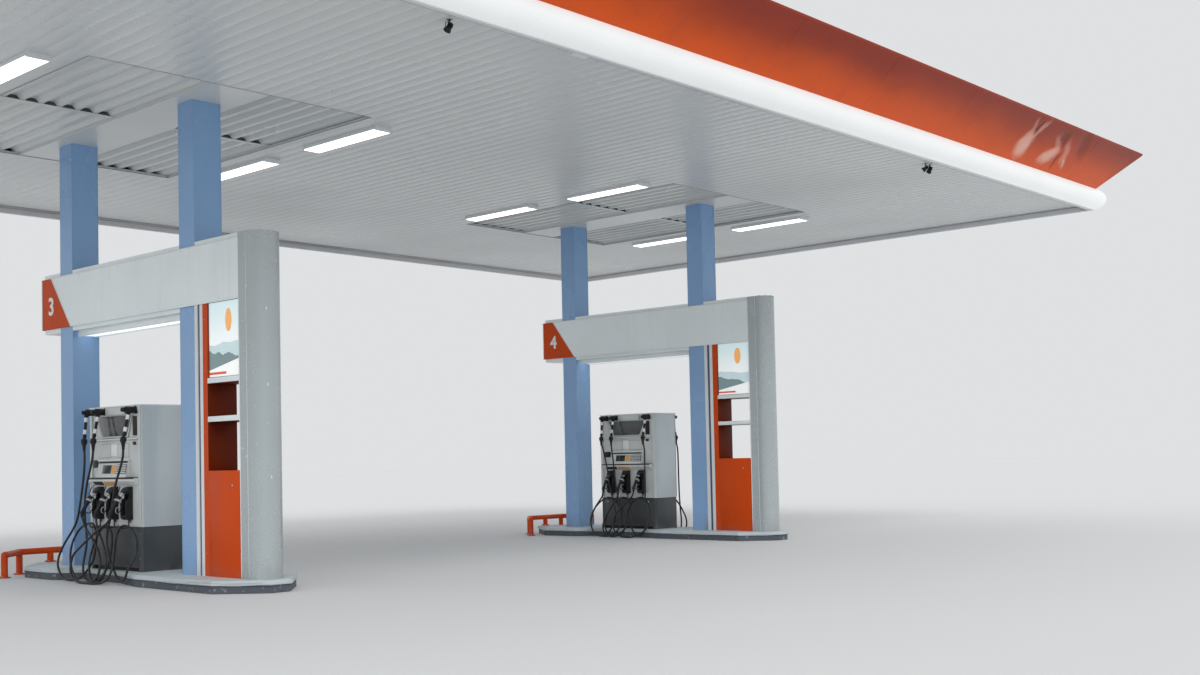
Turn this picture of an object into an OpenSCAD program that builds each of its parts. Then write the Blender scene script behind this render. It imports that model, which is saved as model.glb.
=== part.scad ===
// Filling station canopy over two pump islands, with columns, sign headers, pylons and dispensers.
// Millimetres, +Z up. The origin is on the floor, under the middle of the canopy.
// +X runs along the islands to the pylons, +Y runs from island 3 to island 4.

/* [Canopy] */
// Half length of the ceiling along the islands, to the outer face of the edge trim
canopy_half_x = 6235; // [5000:5:8000]
// Half width of the ceiling across the islands, to the outer face of the edge trim
canopy_half_y = 10090; // [8000:10:12000]
// Height of the ceiling's underside
ceiling_z = 5720; // [4800:10:6500]
// Thickness of the ceiling sheet
ceiling_t = 30; // [15:5:60]
// Thickness of the edge trim
trim_t = 30; // [15:5:60]
// How far the edge trim hangs below the ceiling
trim_low_h = 90; // [40:5:150]
// Height of the girders and of the edge channel above the ceiling sheet
frame_h = 350; // [300:10:600]
// Width of the edge channel
channel_w = 130; // [80:5:200]
// Wall of the edge channel
channel_t = 12; // [6:1:20]
// Thickness of the roof sheet
deck_t = 12; // [6:1:20]
// Height of the roof sheet's ribs
deck_rib_h = 38; // [20:1:60]
// Spacing of the roof sheet's ribs
deck_pitch = 1000; // [500:50:1500]
// Width of a roof rib
deck_rib_w = 60; // [30:5:120]

/* [Recess over each island] */
// Length of the ceiling recess along the island
recess_x = 4850; // [3600:10:5600]
// Width of the ceiling recess
recess_y = 3700; // [2400:10:4600]
// Width of the boxed girder over the columns
girder_w = 760; // [500:10:1000]
// Spacing of the ribs of the recess sheet
rib_pitch = 225; // [150:5:300]
// Depth of the ribs of the recess sheet
rib_h = 45; // [30:1:70]
// Width of a rib's crest
rib_crest = 80; // [40:5:100]
// Width of a rib's sloping side
rib_side = 45; // [20:5:60]
// Thickness of the recess sheet
rib_t = 8; // [4:1:12]
// Rest of the recess sheet on the ceiling beside the recess
rib_rest = 60; // [30:5:100]
// Place of the end lap along the island
lap_x = 200; // [-500:10:500]
// Length of the end lap
lap_len = 120; // [60:10:200]

/* [Fascia and light bar] */
// Radius of the light bar's round face
bar_r = 188; // [120:1:240]
// Flat side of the light bar behind its round face
bar_back = 16; // [10:1:40]
// Height of the light bar's lower edge above the edge trim's lower edge
bar_lift = 10; // [0:1:40]
// Width of the fascia's foot on the light bar
fascia_foot = 75; // [40:5:120]
// How far the fascia leans out
fascia_reach = 614; // [300:2:800]
// Rise of the fascia
fascia_rise = 586; // [300:2:800]
// Thickness of the fascia, measured upright
fascia_t = 45; // [20:5:80]
// Width of the fascia's top lip
lip_w = 130; // [100:5:200]
// Thickness of the fascia's top lip
lip_t = 25; // [10:5:50]
// Number of fascia brackets on a long side
brackets_long = 9; // [5:1:12]
// Number of fascia brackets on a short side
brackets_short = 5; // [3:1:8]
// Thickness of a fascia bracket
bracket_t = 30; // [10:5:60]
// Length of a bracket's foot on the roof
bracket_foot = 350; // [200:10:500]

/* [Ceiling lamps] */
// Length of a ceiling light
lamp_len = 1550; // [1000:10:1700]
// Width of a ceiling light
lamp_w = 250; // [120:10:320]
// Depth of a ceiling light
lamp_h = 60; // [30:5:100]
// Place of the front ceiling lights along the island
lamp_front_x = 1375; // [1000:5:2000]
// Place of the rear ceiling lights along the island
lamp_rear_x = -1100; // [-2000:5:-900]
// Gap between the ceiling lights and the recess
lamp_gap = 285; // [100:5:600]
// Distance of the small lamps from the ceiling's front edge
spot_in = 335; // [150:5:800]
// Distance of the small lamps from the canopy's middle
spot_y = 4770; // [3000:10:6000]
// Radius of a small lamp
spot_r = 55; // [30:1:80]
// Radius of a small lamp's arm
spot_arm_r = 14; // [8:1:20]
// Distance between the twin lamps
spot_pitch = 165; // [165:5:300]

/* [Islands] */
// Distance between the two islands' centre lines
bay = 9700; // [8800:10:10600]
// Height of the kerb
kerb_h = 140; // [100:5:200]
// Height of the rounded nosing along the kerb's top
nosing_h = 56; // [40:1:80]
// How far the nosing stands proud of the kerb's face
nosing_out = 18; // [10:1:30]
// How far the nosing's top edge is rounded back
nosing_in = 9; // [4:1:10]
// Half width of the kerb under the rear column
kerb_rear_half = 625; // [450:5:700]
// Half width of the kerb's waist beside the dispenser
kerb_waist_half = 380; // [330:5:440]
// Half width of the kerb under the pylon
kerb_front_half = 550; // [450:5:700]
// Half width of the kerb's pointed ends
kerb_tip_half = 120; // [80:5:200]
// Distance of the kerb's rear point from the middle
kerb_rear_x = 2460; // [2450:10:3000]
// Distance of the kerb's front point from the middle
kerb_front_x = 3060; // [3000:10:3600]
// Length of the kerb's rear point
kerb_rear_taper = 650; // [500:10:900]
// Length of the kerb's front point
kerb_front_taper = 500; // [300:10:700]
// Where the rear part starts to narrow to the waist
waist_rear_x = -1050; // [-1200:10:-1000]
// Where the waist starts at the rear
waist_start_x = -750; // [-900:10:-700]
// Where the waist ends at the front
waist_end_x = 200; // [100:10:400]
// Where the front part has its full width
waist_front_x = 920; // [800:10:1100]

/* [Crash rail] */
// Radius of the rail's pipe
rail_r = 42; // [30:1:55]
// Height of the rail's centre line
rail_z = 298; // [250:2:450]
// Distance of the rail's rear legs from the middle of the island's length
rail_rear_x = 2400; // [2300:10:2500]
// Distance of the rail's end legs from the middle of the island's length
rail_end_x = 1950; // [1900:10:2100]
// Distance of the rail's rear legs from the centre line
rail_rear_y = 430; // [400:10:600]
// Distance of the rail's end legs from the centre line
rail_end_y = 830; // [780:10:1000]

/* [Columns and header] */
// Distance between the two columns of an island
column_gap = 3000; // [2800:10:3200]
// Column's width along the island
column_x = 330; // [250:5:400]
// Column's width across the island
column_y = 365; // [250:5:450]
// Lower edge of the header's face panels
header_low = 3290; // [3000:10:3400]
// Height of the header's face panels
header_h = 685; // [500:5:800]
// Thickness of the header's face panels
panel_t = 20; // [10:1:40]
// How far the header's core rises over its face panels
core_rise = 55; // [20:5:80]
// How far the header's core hangs below its face panels
core_drop = 60; // [20:5:80]
// Rear end of the header
header_end_x = 2160; // [1900:10:2400]
// Thickness of the cap on the header's rear end
end_cap_t = 40; // [20:5:60]
// Width of the number panel along its top edge
number_top = 260; // [200:10:400]
// Width of the number panel along its lower edge
number_low = 800; // [600:10:900]
// Gap between the lamp under the header and the columns
header_lamp_gap = 35; // [10:5:200]
// Width of the lamp under the header
header_lamp_w = 180; // [100:10:300]
// Depth of the lamp under the header
header_lamp_h = 65; // [30:5:90]

/* [Pylon and cabinet] */
// Where the pylon starts
pylon_x = 2600; // [2500:10:2700]
// Flat side of the pylon before its half-round front
pylon_flat = 150; // [50:5:160]
// Height of the pylon's top
pylon_top = 4020; // [4000:10:4200]
// Wall of the pylon's shell
pylon_t = 12; // [6:1:30]
// How far the cabinet stands out over the column's faces
cabinet_out = 10; // [1:1:18]
// Width of the upright strips beside the front column
strip_w = 62; // [40:1:70]
// Gap between the upright strips
strip_gap = 48; // [30:1:60]
// Depth of an upright strip
strip_d = 42; // [20:1:60]
// Width of the cabinet's orange stile
stile_w = 95; // [60:5:120]
// Top of the closed lower part of the cabinet
cabinet_low_top = 1351; // [1100:1:1500]
// Underside of the lower shelf
shelf_low_z = 1913; // [1700:1:2100]
// Underside of the upper shelf
shelf_high_z = 2357; // [2200:1:2500]
// Thickness of a shelf
shelf_t = 60; // [20:1:80]
// Depth of the lit poster box behind the cabinet's faces
poster_in = 20; // [0:1:80]
// Gap round the lit poster box
poster_gap = 5; // [2:1:15]

/* [Dispenser] */
// Length of the dispenser
disp_len = 1270; // [1100:10:1400]
// Place of the dispenser's middle along the island
disp_x = -30; // [-150:10:50]
// Half depth of the dispenser
disp_half = 300; // [250:5:320]
// Top of the dispenser
disp_top = 2170; // [2000:10:2300]
// Top of the dispenser's dark lower part
disp_base_top = 685; // [600:5:750]
// Radius of the dispenser's upright corners
corner_r = 35; // [15:5:60]
// Height of the slot in the dispenser's plinth
plinth_h = 50; // [30:5:80]
// Depth of the slot in the dispenser's plinth
plinth_d = 40; // [20:5:80]
// Width of the silver corner posts on the dispenser's faces
post_w = 65; // [40:5:90]
// Depth of the dispenser's face panels behind the corner posts
face_in = 30; // [20:2:60]
// Thickness of the face plate
face_t = 15; // [10:1:20]
// Height of the top rail over the face plate
head_h = 75; // [50:5:120]
// Lower edge of the display window
window_low = 1785; // [1700:5:1850]
// Height of the display window
window_h = 280; // [200:5:300]
// Distance of the window's upper corners from the dispenser's ends
window_top_in = 195; // [120:5:240]
// Distance of the window's lower corners from the dispenser's ends
window_low_in = 325; // [250:5:400]
// Lower edge of the keypad
keypad_low = 1290; // [1290:5:1400]
// Height of the keypad
keypad_h = 210; // [120:5:220]
// Distance of the keypad from the dispenser's ends
keypad_in = 270; // [150:5:350]
// Lower edge of the ledge under the keypad
ledge_low = 1200; // [1180:5:1210]
// Height of the ledge under the keypad
ledge_h = 80; // [40:5:80]
// How far the ledge stands out
ledge_out = 60; // [30:5:90]

/* [Nozzles and hoses] */
// Width of a nozzle boot
boot_w = 130; // [110:5:160]
// Lower edge of the nozzle boots
boot_low = 770; // [740:5:800]
// Height of a nozzle boot
boot_h = 405; // [350:5:420]
// Depth of a nozzle boot
boot_d = 100; // [80:5:110]
// Wall of a nozzle boot
boot_t = 10; // [6:1:16]
// Distance of the rear boot's middle from the dispenser's rear end
boot_rear_in = 270; // [200:5:300]
// Distance of the front boot's middle from the dispenser's front end
boot_front_in = 290; // [200:5:300]
// Radius of a nozzle's body
nozzle_r = 26; // [20:1:30]
// Length of a nozzle's body
nozzle_len = 220; // [180:5:260]
// Slope of a nozzle's body, from upright
nozzle_lean = 30; // [15:1:40]
// Radius of a nozzle's splash guard
hood_r = 36; // [28:1:40]
// Length of a nozzle's splash guard
hood_len = 45; // [30:5:60]
// Radius of a nozzle's spout
spout_r = 12; // [8:1:16]
// Height of a nozzle's hose end over the boot's lower edge
inlet_h = 40; // [20:5:60]
// How far a nozzle's hose end stands out past its boot
inlet_out = 162; // [120:2:200]
// Radius of the swivel at a nozzle's hose end
swivel_r = 20; // [18:1:26]
// Length of the swivel
swivel_len = 50; // [30:5:70]
// Outer radius of a nozzle's guard loop
guard_r = 62; // [50:1:80]
// Radius of the bar of a guard loop
guard_bar = 8; // [5:1:12]
// Height of the hose hooks
hook_z = 670; // [640:5:690]
// How far a hose hook stands out past the dispenser's face
hook_out = 140; // [100:5:150]
// Radius of a hose hook's bar
hook_r = 9; // [6:1:12]
// Height of a hook's tip over its bar
hook_tip_h = 40; // [20:5:60]
// Radius of a hose outlet's arm
outlet_r = 34; // [25:1:40]
// Length of a hose outlet's arm
outlet_len = 130; // [60:5:150]
// Height of the hose outlets
outlet_z = 2110; // [2080:5:2130]
// Distance of the rear hose outlet from the dispenser's rear end
outlet_rear_in = 165; // [100:5:200]
// Distance between the rear hose outlet and the next one
outlet_gap = 235; // [180:5:300]
// Distance of the front hose outlet from the dispenser's front end
outlet_front_in = 125; // [80:5:200]
// Radius of the rod that carries a hose's coupling
breakaway_r = 17; // [12:1:22]
// How far a hose's coupling stands out past its outlet arm
coupling_reach = 30; // [10:5:150]
// Height of a hose's coupling
coupling_z = 1740; // [1600:5:1900]
// Length of the sleeve under a coupling, from the coupling's middle
sleeve_len = 60; // [45:5:150]
// Wall of the sleeve round a hose
sleeve_t = 6; // [2:1:10]
// Radius of the coupling at the top of a hose
coupling_r = 38; // [28:1:45]
// Radius of a hose
hose_r = 14; // [10:1:16]

/* [Hidden] */

silver = "silver";
steel_blue = "slateblue";
orange_red = "orangered";
pale = "gainsboro";
lit = "white";
dark_grey = "dimgray";
black = "black";

frame_z = ceiling_z + ceiling_t;
deck_z = frame_z + frame_h;
deck_top = deck_z + deck_t;
trim_z = ceiling_z - trim_low_h;
lamp_y = recess_y / 2 + lamp_gap + lamp_w / 2;
spot_x = canopy_half_x - spot_in;
bar_z = trim_z + bar_lift;
bar_top = bar_z + 2 * bar_r;
fascia_top = bar_top + fascia_rise;
fascia_slope = fascia_reach / fascia_rise;

column_at = column_gap / 2;
frame_half = column_y / 2;
face_half = frame_half + panel_t;
header_top = header_low + header_h;
core_end_x = header_end_x - end_cap_t;
cabinet_half = frame_half + cabinet_out;
poster_half = cabinet_half - poster_in;
header_lamp_x = column_at - column_x / 2 - header_lamp_gap;
column_outer = column_at + column_x / 2;
strip_2_x = column_outer + strip_w + strip_gap;
stile_x = strip_2_x + strip_w;
bay_x = stile_x + stile_w;
shelf_top = shelf_high_z + shelf_t;

disp_rear_x = disp_x - disp_len / 2;
disp_front_x = disp_x + disp_len / 2;
face_x = disp_rear_x + post_w;
face_w = disp_len - 2 * post_w;
face_out = disp_half - face_in + face_t;
boot_out = face_out + boot_d;
boot_top = boot_low + boot_h;
inlet_y = boot_out + inlet_out;
inlet_z = boot_low + inlet_h;
outlet_out = disp_half + outlet_len;
coupling_out = outlet_out + coupling_reach;

// Places of the outlets and of the nozzle boots along a face
outlets = [disp_rear_x + outlet_rear_in, disp_rear_x + outlet_rear_in + outlet_gap,
    disp_front_x - outlet_front_in];
boot_rear_x = disp_rear_x + boot_rear_in;
boot_front_x = disp_front_x - boot_front_in;
boots = [boot_rear_x, (boot_rear_x + boot_front_x) / 2, boot_front_x];
ROUND = 48;
FINE = 24;
HOSE_STEPS = 2;
HOSE_SIDES = 8;

// Radius of the ball where two rods meet, as a share of the rods' radius
KNUCKLE = 1.1;

// Share of the nosing's height that each of its two rounding steps takes
NOSING_STEP = 0.25;

// Routes of the hoses on a face of islands 3 and 4, from the rear outlet to the front one.
// Each point is a place along the face from the dispenser's middle, out from its centre line, and a height.
// A hose hangs from its coupling to the floor, comes up over its hook and rises again into its nozzle.
REAR_3 = [[-470, 460, 1680], [-460, 460, 1540], [-470, 463, 1380], [-500, 465, 1220], [-540, 468, 1060],
    [-585, 471, 900], [-645, 476, 750], [-740, 486, 630], [-830, 505, 530], [-900, 530, 430],
    [-945, 560, 315], [-930, 590, 205], [-855, 605, 115], [-745, 610, 40], [-610, 600, 18],
    [-475, 565, 30], [-385, 505, 100], [-300, 440, 260], [-295, 410, 420], [-295, 396, 570],
    [-375, 392, 701], [-490, 400, 714], [-600, 420, 680], [-680, 445, 610], [-725, 480, 510],
    [-715, 520, 400], [-645, 565, 280], [-535, 605, 170], [-375, 640, 75], [-235, 660, 22],
    [-80, 665, 18], [55, 662, 25], [175, 650, 65], [230, 635, 160], [215, 612, 280], [135, 590, 380],
    [10, 570, 490], [-140, 560, 585], [-280, 549, 685], [-365, 547, 810]];
MIDDLE_3 = [[-235, 460, 1680], [-255, 460, 1540], [-310, 463, 1400], [-375, 465, 1260], [-425, 467, 1110],
    [-445, 470, 960], [-438, 474, 820], [-405, 480, 690], [-370, 487, 570], [-355, 498, 450],
    [-355, 520, 330], [-350, 545, 210], [-300, 565, 105], [-205, 575, 40], [-80, 570, 18], [40, 545, 50],
    [115, 500, 140], [140, 460, 260], [138, 434, 380], [130, 417, 490], [108, 405, 590], [45, 402, 674],
    [-45, 410, 691], [-130, 435, 630], [-180, 470, 510], [-192, 515, 380], [-165, 560, 240],
    [-100, 590, 130], [-20, 605, 50], [90, 612, 18], [210, 605, 50], [290, 592, 150], [295, 582, 290],
    [240, 572, 420], [160, 562, 530], [75, 553, 625], [10, 548, 710], [-10, 547, 810]];
FRONT_3 = [[510, 460, 1680], [500, 461, 1540], [430, 463, 1390], [345, 466, 1240], [285, 468, 1090],
    [255, 471, 930], [210, 476, 790], [160, 483, 660], [150, 491, 530], [190, 498, 400], [270, 505, 265],
    [385, 515, 140], [495, 535, 75], [640, 555, 52], [740, 572, 100], [800, 570, 200], [855, 515, 330],
    [820, 465, 460], [745, 430, 560], [630, 408, 640], [510, 398, 685], [405, 393, 702], [315, 400, 680],
    [265, 420, 590], [285, 452, 500], [380, 520, 350], [460, 595, 190], [425, 625, 85], [330, 650, 30],
    [190, 685, 16], [40, 700, 16], [-110, 702, 16], [-260, 700, 45], [-380, 688, 115], [-435, 665, 215],
    [-405, 645, 335], [-290, 630, 420], [-100, 615, 530], [120, 590, 655], [280, 560, 735],
    [345, 547, 810]];
REAR_4 = [[-470, 460, 1680], [-410, 461, 1500], [-365, 463, 1330], [-325, 466, 1160], [-300, 469, 990],
    [-260, 472, 830], [-215, 476, 690], [-170, 480, 550], [-140, 484, 420], [-160, 484, 300],
    [-215, 486, 190], [-295, 490, 95], [-405, 495, 32], [-535, 500, 22], [-635, 500, 65],
    [-710, 495, 145], [-755, 476, 260], [-755, 450, 370], [-715, 428, 470], [-640, 412, 560],
    [-545, 402, 635], [-450, 396, 680], [-375, 393, 694], [-275, 398, 670], [-170, 408, 600],
    [-55, 432, 460], [-10, 480, 300], [-10, 540, 170], [-90, 582, 70], [-200, 602, 25], [-325, 612, 18],
    [-450, 612, 30], [-560, 602, 85], [-640, 582, 180], [-650, 566, 310], [-615, 560, 430],
    [-545, 556, 542], [-470, 552, 630], [-395, 548, 720], [-365, 547, 810]];
MIDDLE_4 = [[-235, 460, 1680], [-220, 461, 1540], [-195, 463, 1380], [-170, 466, 1200], [-145, 470, 1020],
    [-120, 474, 850], [-80, 478, 700], [-10, 484, 560], [60, 490, 440], [110, 500, 320], [110, 515, 200],
    [60, 532, 90], [-40, 543, 30], [-160, 543, 18], [-290, 535, 60], [-370, 508, 160], [-395, 475, 280],
    [-365, 455, 400], [-290, 447, 520], [-190, 442, 625], [-90, 425, 678], [5, 408, 695],
    [105, 425, 652], [180, 455, 560], [230, 490, 430], [230, 540, 300], [190, 590, 190], [110, 625, 90],
    [0, 640, 30], [-130, 645, 20], [-260, 640, 65], [-325, 625, 170], [-305, 605, 300], [-240, 588, 420],
    [-155, 570, 540], [-80, 556, 640], [-28, 549, 725], [-10, 547, 810]];
FRONT_4 = [[510, 460, 1680], [540, 461, 1540], [545, 463, 1387], [545, 465, 1220], [545, 467, 1050],
    [545, 470, 880], [545, 474, 730], [550, 478, 590], [555, 484, 450], [565, 490, 310], [555, 500, 190],
    [525, 515, 95], [445, 525, 45], [345, 525, 60], [260, 505, 140], [165, 470, 255], [110, 440, 370],
    [105, 415, 480], [160, 402, 580], [265, 396, 660], [390, 392, 699], [495, 400, 650], [570, 412, 570],
    [635, 440, 450], [670, 480, 330], [655, 530, 220], [600, 580, 130], [505, 625, 60], [405, 665, 22],
    [275, 690, 16], [160, 700, 28], [45, 690, 85], [-35, 672, 180], [-45, 655, 290], [-5, 642, 395],
    [85, 625, 495], [180, 606, 580], [255, 585, 650], [318, 562, 720], [345, 547, 810]];

// A band of one profile of (outward, height) points round a rectangle, mitred at its corners
module band(half_x, half_y, profile) {
    union() {
        for (turn = [0, 180]) rotate([0, 0, turn]) band_side(half_x, half_y, profile);
        for (turn = [90, 270]) rotate([0, 0, turn]) band_side(half_y, half_x, profile);
    }
}

// One side of a band: its face is at x = at, and its mitres meet the next sides at y = along
module band_side(at, along, profile) {
    reach = max([for (p = profile) p[0]]) + panel_t;
    heights = [for (p = profile) p[1]];
    intersection() {
        translate([at, 0, 0])
            rotate([90, 0, 0])
                linear_extrude(2 * (along + reach), center = true) polygon(profile);
        translate([0, 0, min(heights)])
            linear_extrude(max(heights) - min(heights))
                polygon([[at - along, 0], [at + reach, along + reach], [at + reach, -along - reach]]);
    }
}

// A box from its lowest corner to its highest
module box(low, high) {
    translate(low) cube(high - low);
}

// A rod between two points
module rod(from, to, r) {
    d = to - from;
    translate(from)
        rotate([0, acos(d[2] / norm(d)), atan2(d[1], d[0])])
            cylinder(h = norm(d), r = r, $fn = FINE);
}

// Puts an island's piece on its centre line; side is -1 for island 3 and 1 for island 4
module at_island(side) {
    translate([0, side * bay / 2, 0]) children();
}

// Repeats a piece on both long faces of a dispenser or header
module both_faces() {
    children();
    mirror([0, 1, 0]) children();
}

module soffit() {
    color(pale)
    difference() {
        box([trim_t - canopy_half_x, trim_t - canopy_half_y, ceiling_z],
            [canopy_half_x - trim_t, canopy_half_y - trim_t, frame_z]);
        for (side = [-1, 1])
            at_island(side)
                box([-recess_x / 2, -recess_y / 2, ceiling_z - ceiling_t],
                    [recess_x / 2, recess_y / 2, frame_z + ceiling_t]);
    }
}

// Profile of a trapezoidal sheet: flats, slopes and crests of equal thickness across its width
function sheet_line(width, lift) = [for (i = [1 : floor(width / rib_pitch)])
    let (crest = i * rib_pitch - rib_side - rib_crest)
    each [[crest - rib_side, lift], [crest, lift + rib_h],
        [crest + rib_crest, lift + rib_h], [crest + rib_crest + rib_side, lift]]];

function reversed(list) = [for (i = [len(list) - 1 : -1 : 0]) list[i]];

module trapezoid_sheet(length, width) {
    line = concat([[0, 0]], sheet_line(width, 0), [[width, 0]]);
    top = concat([[0, rib_t]], sheet_line(width, rib_t), [[width, rib_t]]);
    rotate([90, 0, 90]) linear_extrude(length) polygon(concat(line, reversed(top)));
}

module recess_sheets() {
    sheet_w = recess_y / 2 + rib_rest - girder_w / 2;
    rear_x = -recess_x / 2 - rib_rest;
    front_x = recess_x / 2 + rib_rest;
    color(pale)
    for (side = [-1, 1])
        at_island(side)
            both_faces()
                translate([0, girder_w / 2, frame_z]) {
                    translate([rear_x, 0, 0]) trapezoid_sheet(lap_x - rear_x, sheet_w);
                    translate([lap_x - lap_len, 0, rib_t]) trapezoid_sheet(front_x - lap_x + lap_len, sheet_w);
                }
}

module girders() {
    color(pale)
    for (side = [-1, 1])
        at_island(side) {
            box([-recess_x / 2, -girder_w / 2, ceiling_z], [recess_x / 2, girder_w / 2, frame_z]);
            box([channel_w - canopy_half_x, -girder_w / 2, frame_z],
                [canopy_half_x - channel_w, girder_w / 2, deck_z]);
        }
}

module edge_channel() {
    color(silver)
    band(canopy_half_x, canopy_half_y, [[-channel_w, frame_z], [0, frame_z], [0, deck_z],
        [-channel_w, deck_z], [-channel_w, deck_z - channel_t], [-channel_t, deck_z - channel_t],
        [-channel_t, frame_z + channel_t], [-channel_w, frame_z + channel_t]]);
}

// Roof sheet with raised ribs along the islands, one over every joint
module roof_deck() {
    ribs = floor((canopy_half_y - bracket_foot - deck_rib_w) / deck_pitch);
    rib_half_x = canopy_half_x - bracket_foot - deck_rib_w;
    color(silver)
    union() {
        box([-canopy_half_x, -canopy_half_y, deck_z], [canopy_half_x, canopy_half_y, deck_top]);
        for (i = [-ribs : ribs])
            translate([-rib_half_x, i * deck_pitch, deck_top])
                rotate([90, 0, 90])
                    linear_extrude(2 * rib_half_x)
                        polygon([[-deck_rib_w / 2, 0], [deck_rib_w / 2, 0],
                            [deck_rib_w / 4, deck_rib_h], [-deck_rib_w / 4, deck_rib_h]]);
    }
}

module edge_trim() {
    color(pale)
    band(canopy_half_x, canopy_half_y,
        [[-trim_t, trim_z], [0, trim_z], [0, frame_z], [-trim_t, frame_z]]);
}

// Half-round profile of the light bar, from its lower edge to its top
function bar_profile() = concat([[0, bar_z]],
    [for (a = [-90 : 180 / FINE : 90]) [bar_back + bar_r * cos(a), bar_z + bar_r + bar_r * sin(a)]],
    [[0, bar_top]]);

module light_bar() {
    color(lit)
    band(canopy_half_x, canopy_half_y, bar_profile());
}

// Outward place of the fascia's back at a height
function fascia_back(z) = fascia_foot + (z - bar_top - fascia_t) * fascia_slope;

module fascia() {
    tip = fascia_foot + fascia_reach;
    color(orange_red)
    band(canopy_half_x, canopy_half_y, [[0, bar_top], [fascia_foot, bar_top], [tip, fascia_top],
        [tip, fascia_top + lip_t], [tip - lip_w, fascia_top + lip_t], [tip - lip_w, fascia_top],
        [fascia_back(fascia_top), fascia_top], [fascia_foot, bar_top + fascia_t], [0, bar_top + fascia_t]]);
}

module fascia_bracket() {
    top = fascia_top - fascia_t;
    rotate([90, 0, 0])
        linear_extrude(bracket_t, center = true)
            polygon([[-bracket_foot, deck_top], [fascia_back(deck_top), deck_top], [fascia_back(top), top]]);
}

module bracket_row(at, half, count) {
    for (i = [0 : count - 1])
        translate([at, half * (2 * (i + 0.5) / count - 1), 0]) fascia_bracket();
}

module fascia_brackets() {
    color(silver)
    for (turn = [0, 180]) {
        rotate([0, 0, turn]) bracket_row(canopy_half_x, canopy_half_y, brackets_long);
        rotate([0, 0, turn + 90]) bracket_row(canopy_half_y, canopy_half_x, brackets_short);
    }
}

module ceiling_lights() {
    color(lit)
    for (side = [-1, 1])
        at_island(side)
            both_faces()
                for (x = [lamp_rear_x, lamp_front_x])
                    box([x - lamp_len / 2, lamp_y - lamp_w / 2, ceiling_z - lamp_h],
                        [x + lamp_len / 2, lamp_y + lamp_w / 2, ceiling_z]);
}

// One spot head on its arm, aimed down and forwards
module spot(x, y) {
    arm_z = ceiling_z - 2 * spot_r;
    color(dark_grey) {
        rod([x, y, ceiling_z], [x, y, arm_z], spot_arm_r);
        rod([x - spot_r, y, arm_z], [x + spot_r, y, arm_z - spot_r], spot_r);
    }
}

module small_lamps() {
    spot(spot_x, spot_y - spot_pitch / 2);
    spot(spot_x, spot_y + spot_pitch / 2);
    spot(spot_x, -spot_y);
}

// Outline of the kerb, grown outwards by g
function kerb_side(g) = [[-kerb_rear_x - g, kerb_tip_half + g],
    [kerb_rear_taper - kerb_rear_x, kerb_rear_half + g], [waist_rear_x, kerb_rear_half + g],
    [waist_start_x, kerb_waist_half + g], [waist_end_x, kerb_waist_half + g],
    [waist_front_x, kerb_front_half + g], [kerb_front_x - kerb_front_taper, kerb_front_half + g],
    [kerb_front_x + g, kerb_tip_half + g]];

function mirrored_y(points) = [for (p = reversed(points)) [p[0], -p[1]]];

module kerb_slice(low, high, g) {
    translate([0, 0, low])
        linear_extrude(high - low) polygon(concat(kerb_side(g), mirrored_y(kerb_side(g))));
}

module kerb() {
    low = kerb_h - nosing_h;
    step = NOSING_STEP * nosing_h;
    color("lightslategray")
    union() {
        kerb_slice(0, low, 0);
        kerb_slice(low, low + step, nosing_out - nosing_in / 2);
        kerb_slice(low + step, kerb_h - step, nosing_out);
        kerb_slice(kerb_h - step, kerb_h, nosing_out - nosing_in);
    }
}

module crash_rail() {
    end = [-rail_end_x, rail_end_y, rail_z];
    rear = [-rail_rear_x, rail_rear_y, rail_z];
    middle = [-rail_rear_x, 0, rail_z];
    color(orange_red)
    union() {
        both_faces() {
            rod([end[0], end[1], 0], end, rail_r);
            rod([rear[0], rear[1], 0], rear, rail_r);
            rod(end, rear, rail_r);
            rod(rear, middle, rail_r);
            for (p = [end, rear]) translate(p) sphere(r = rail_r, $fn = FINE);
        }
        rod([middle[0], 0, kerb_h], middle, rail_r);
    }
}

module column(x) {
    color(steel_blue)
    box([x - column_x / 2, -frame_half, kerb_h], [x + column_x / 2, frame_half, ceiling_z]);
}

// Slanted joint between the number panel and the face panel, at the top and the lower edge
slant_top_x = number_top - header_end_x;
slant_low_x = number_low - header_end_x;

module face_plate(points) {
    translate([0, face_half, 0]) rotate([90, 0, 0]) linear_extrude(panel_t) polygon(points);
}

module header() {
    color(silver)
    union() {
        difference() {
            union() {
                box([-core_end_x, -frame_half, header_low - core_drop],
                    [column_outer, frame_half, header_top + core_rise]);
                box([column_outer, -frame_half, header_low], [pylon_x, frame_half, header_top + core_rise]);
            }
            for (x = [-column_at, column_at])
                box([x - column_x / 2, -face_half, header_low - 2 * core_drop],
                    [x + column_x / 2, face_half, header_top + 2 * core_rise]);
        }
        both_faces()
            face_plate([[slant_low_x, header_low], [pylon_x, header_low],
                [pylon_x, header_top], [slant_top_x, header_top]]);
    }
}

module number_panel() {
    color(orange_red)
    union() {
        both_faces()
            face_plate([[-header_end_x, header_low], [slant_low_x, header_low],
                [slant_top_x, header_top], [-header_end_x, header_top]]);
        box([-header_end_x, -face_half, header_low], [-core_end_x, face_half, header_top]);
    }
}

module number_panels() {
    for (side = [-1, 1]) at_island(side) number_panel();
}

module header_lamps() {
    low = header_low - core_drop;
    color(lit)
    for (side = [-1, 1])
        at_island(side)
            box([-header_lamp_x, -header_lamp_w / 2, low - header_lamp_h],
                [header_lamp_x, header_lamp_w / 2, low]);
}

module pylon_outline(r) {
    nose_x = pylon_x + pylon_flat;
    union() {
        translate([pylon_x, -r]) square([pylon_flat, 2 * r]);
        intersection() {
            translate([nose_x, 0]) circle(r = r, $fn = ROUND);
            translate([nose_x, -r]) square([r, 2 * r]);
        }
    }
}

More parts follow.
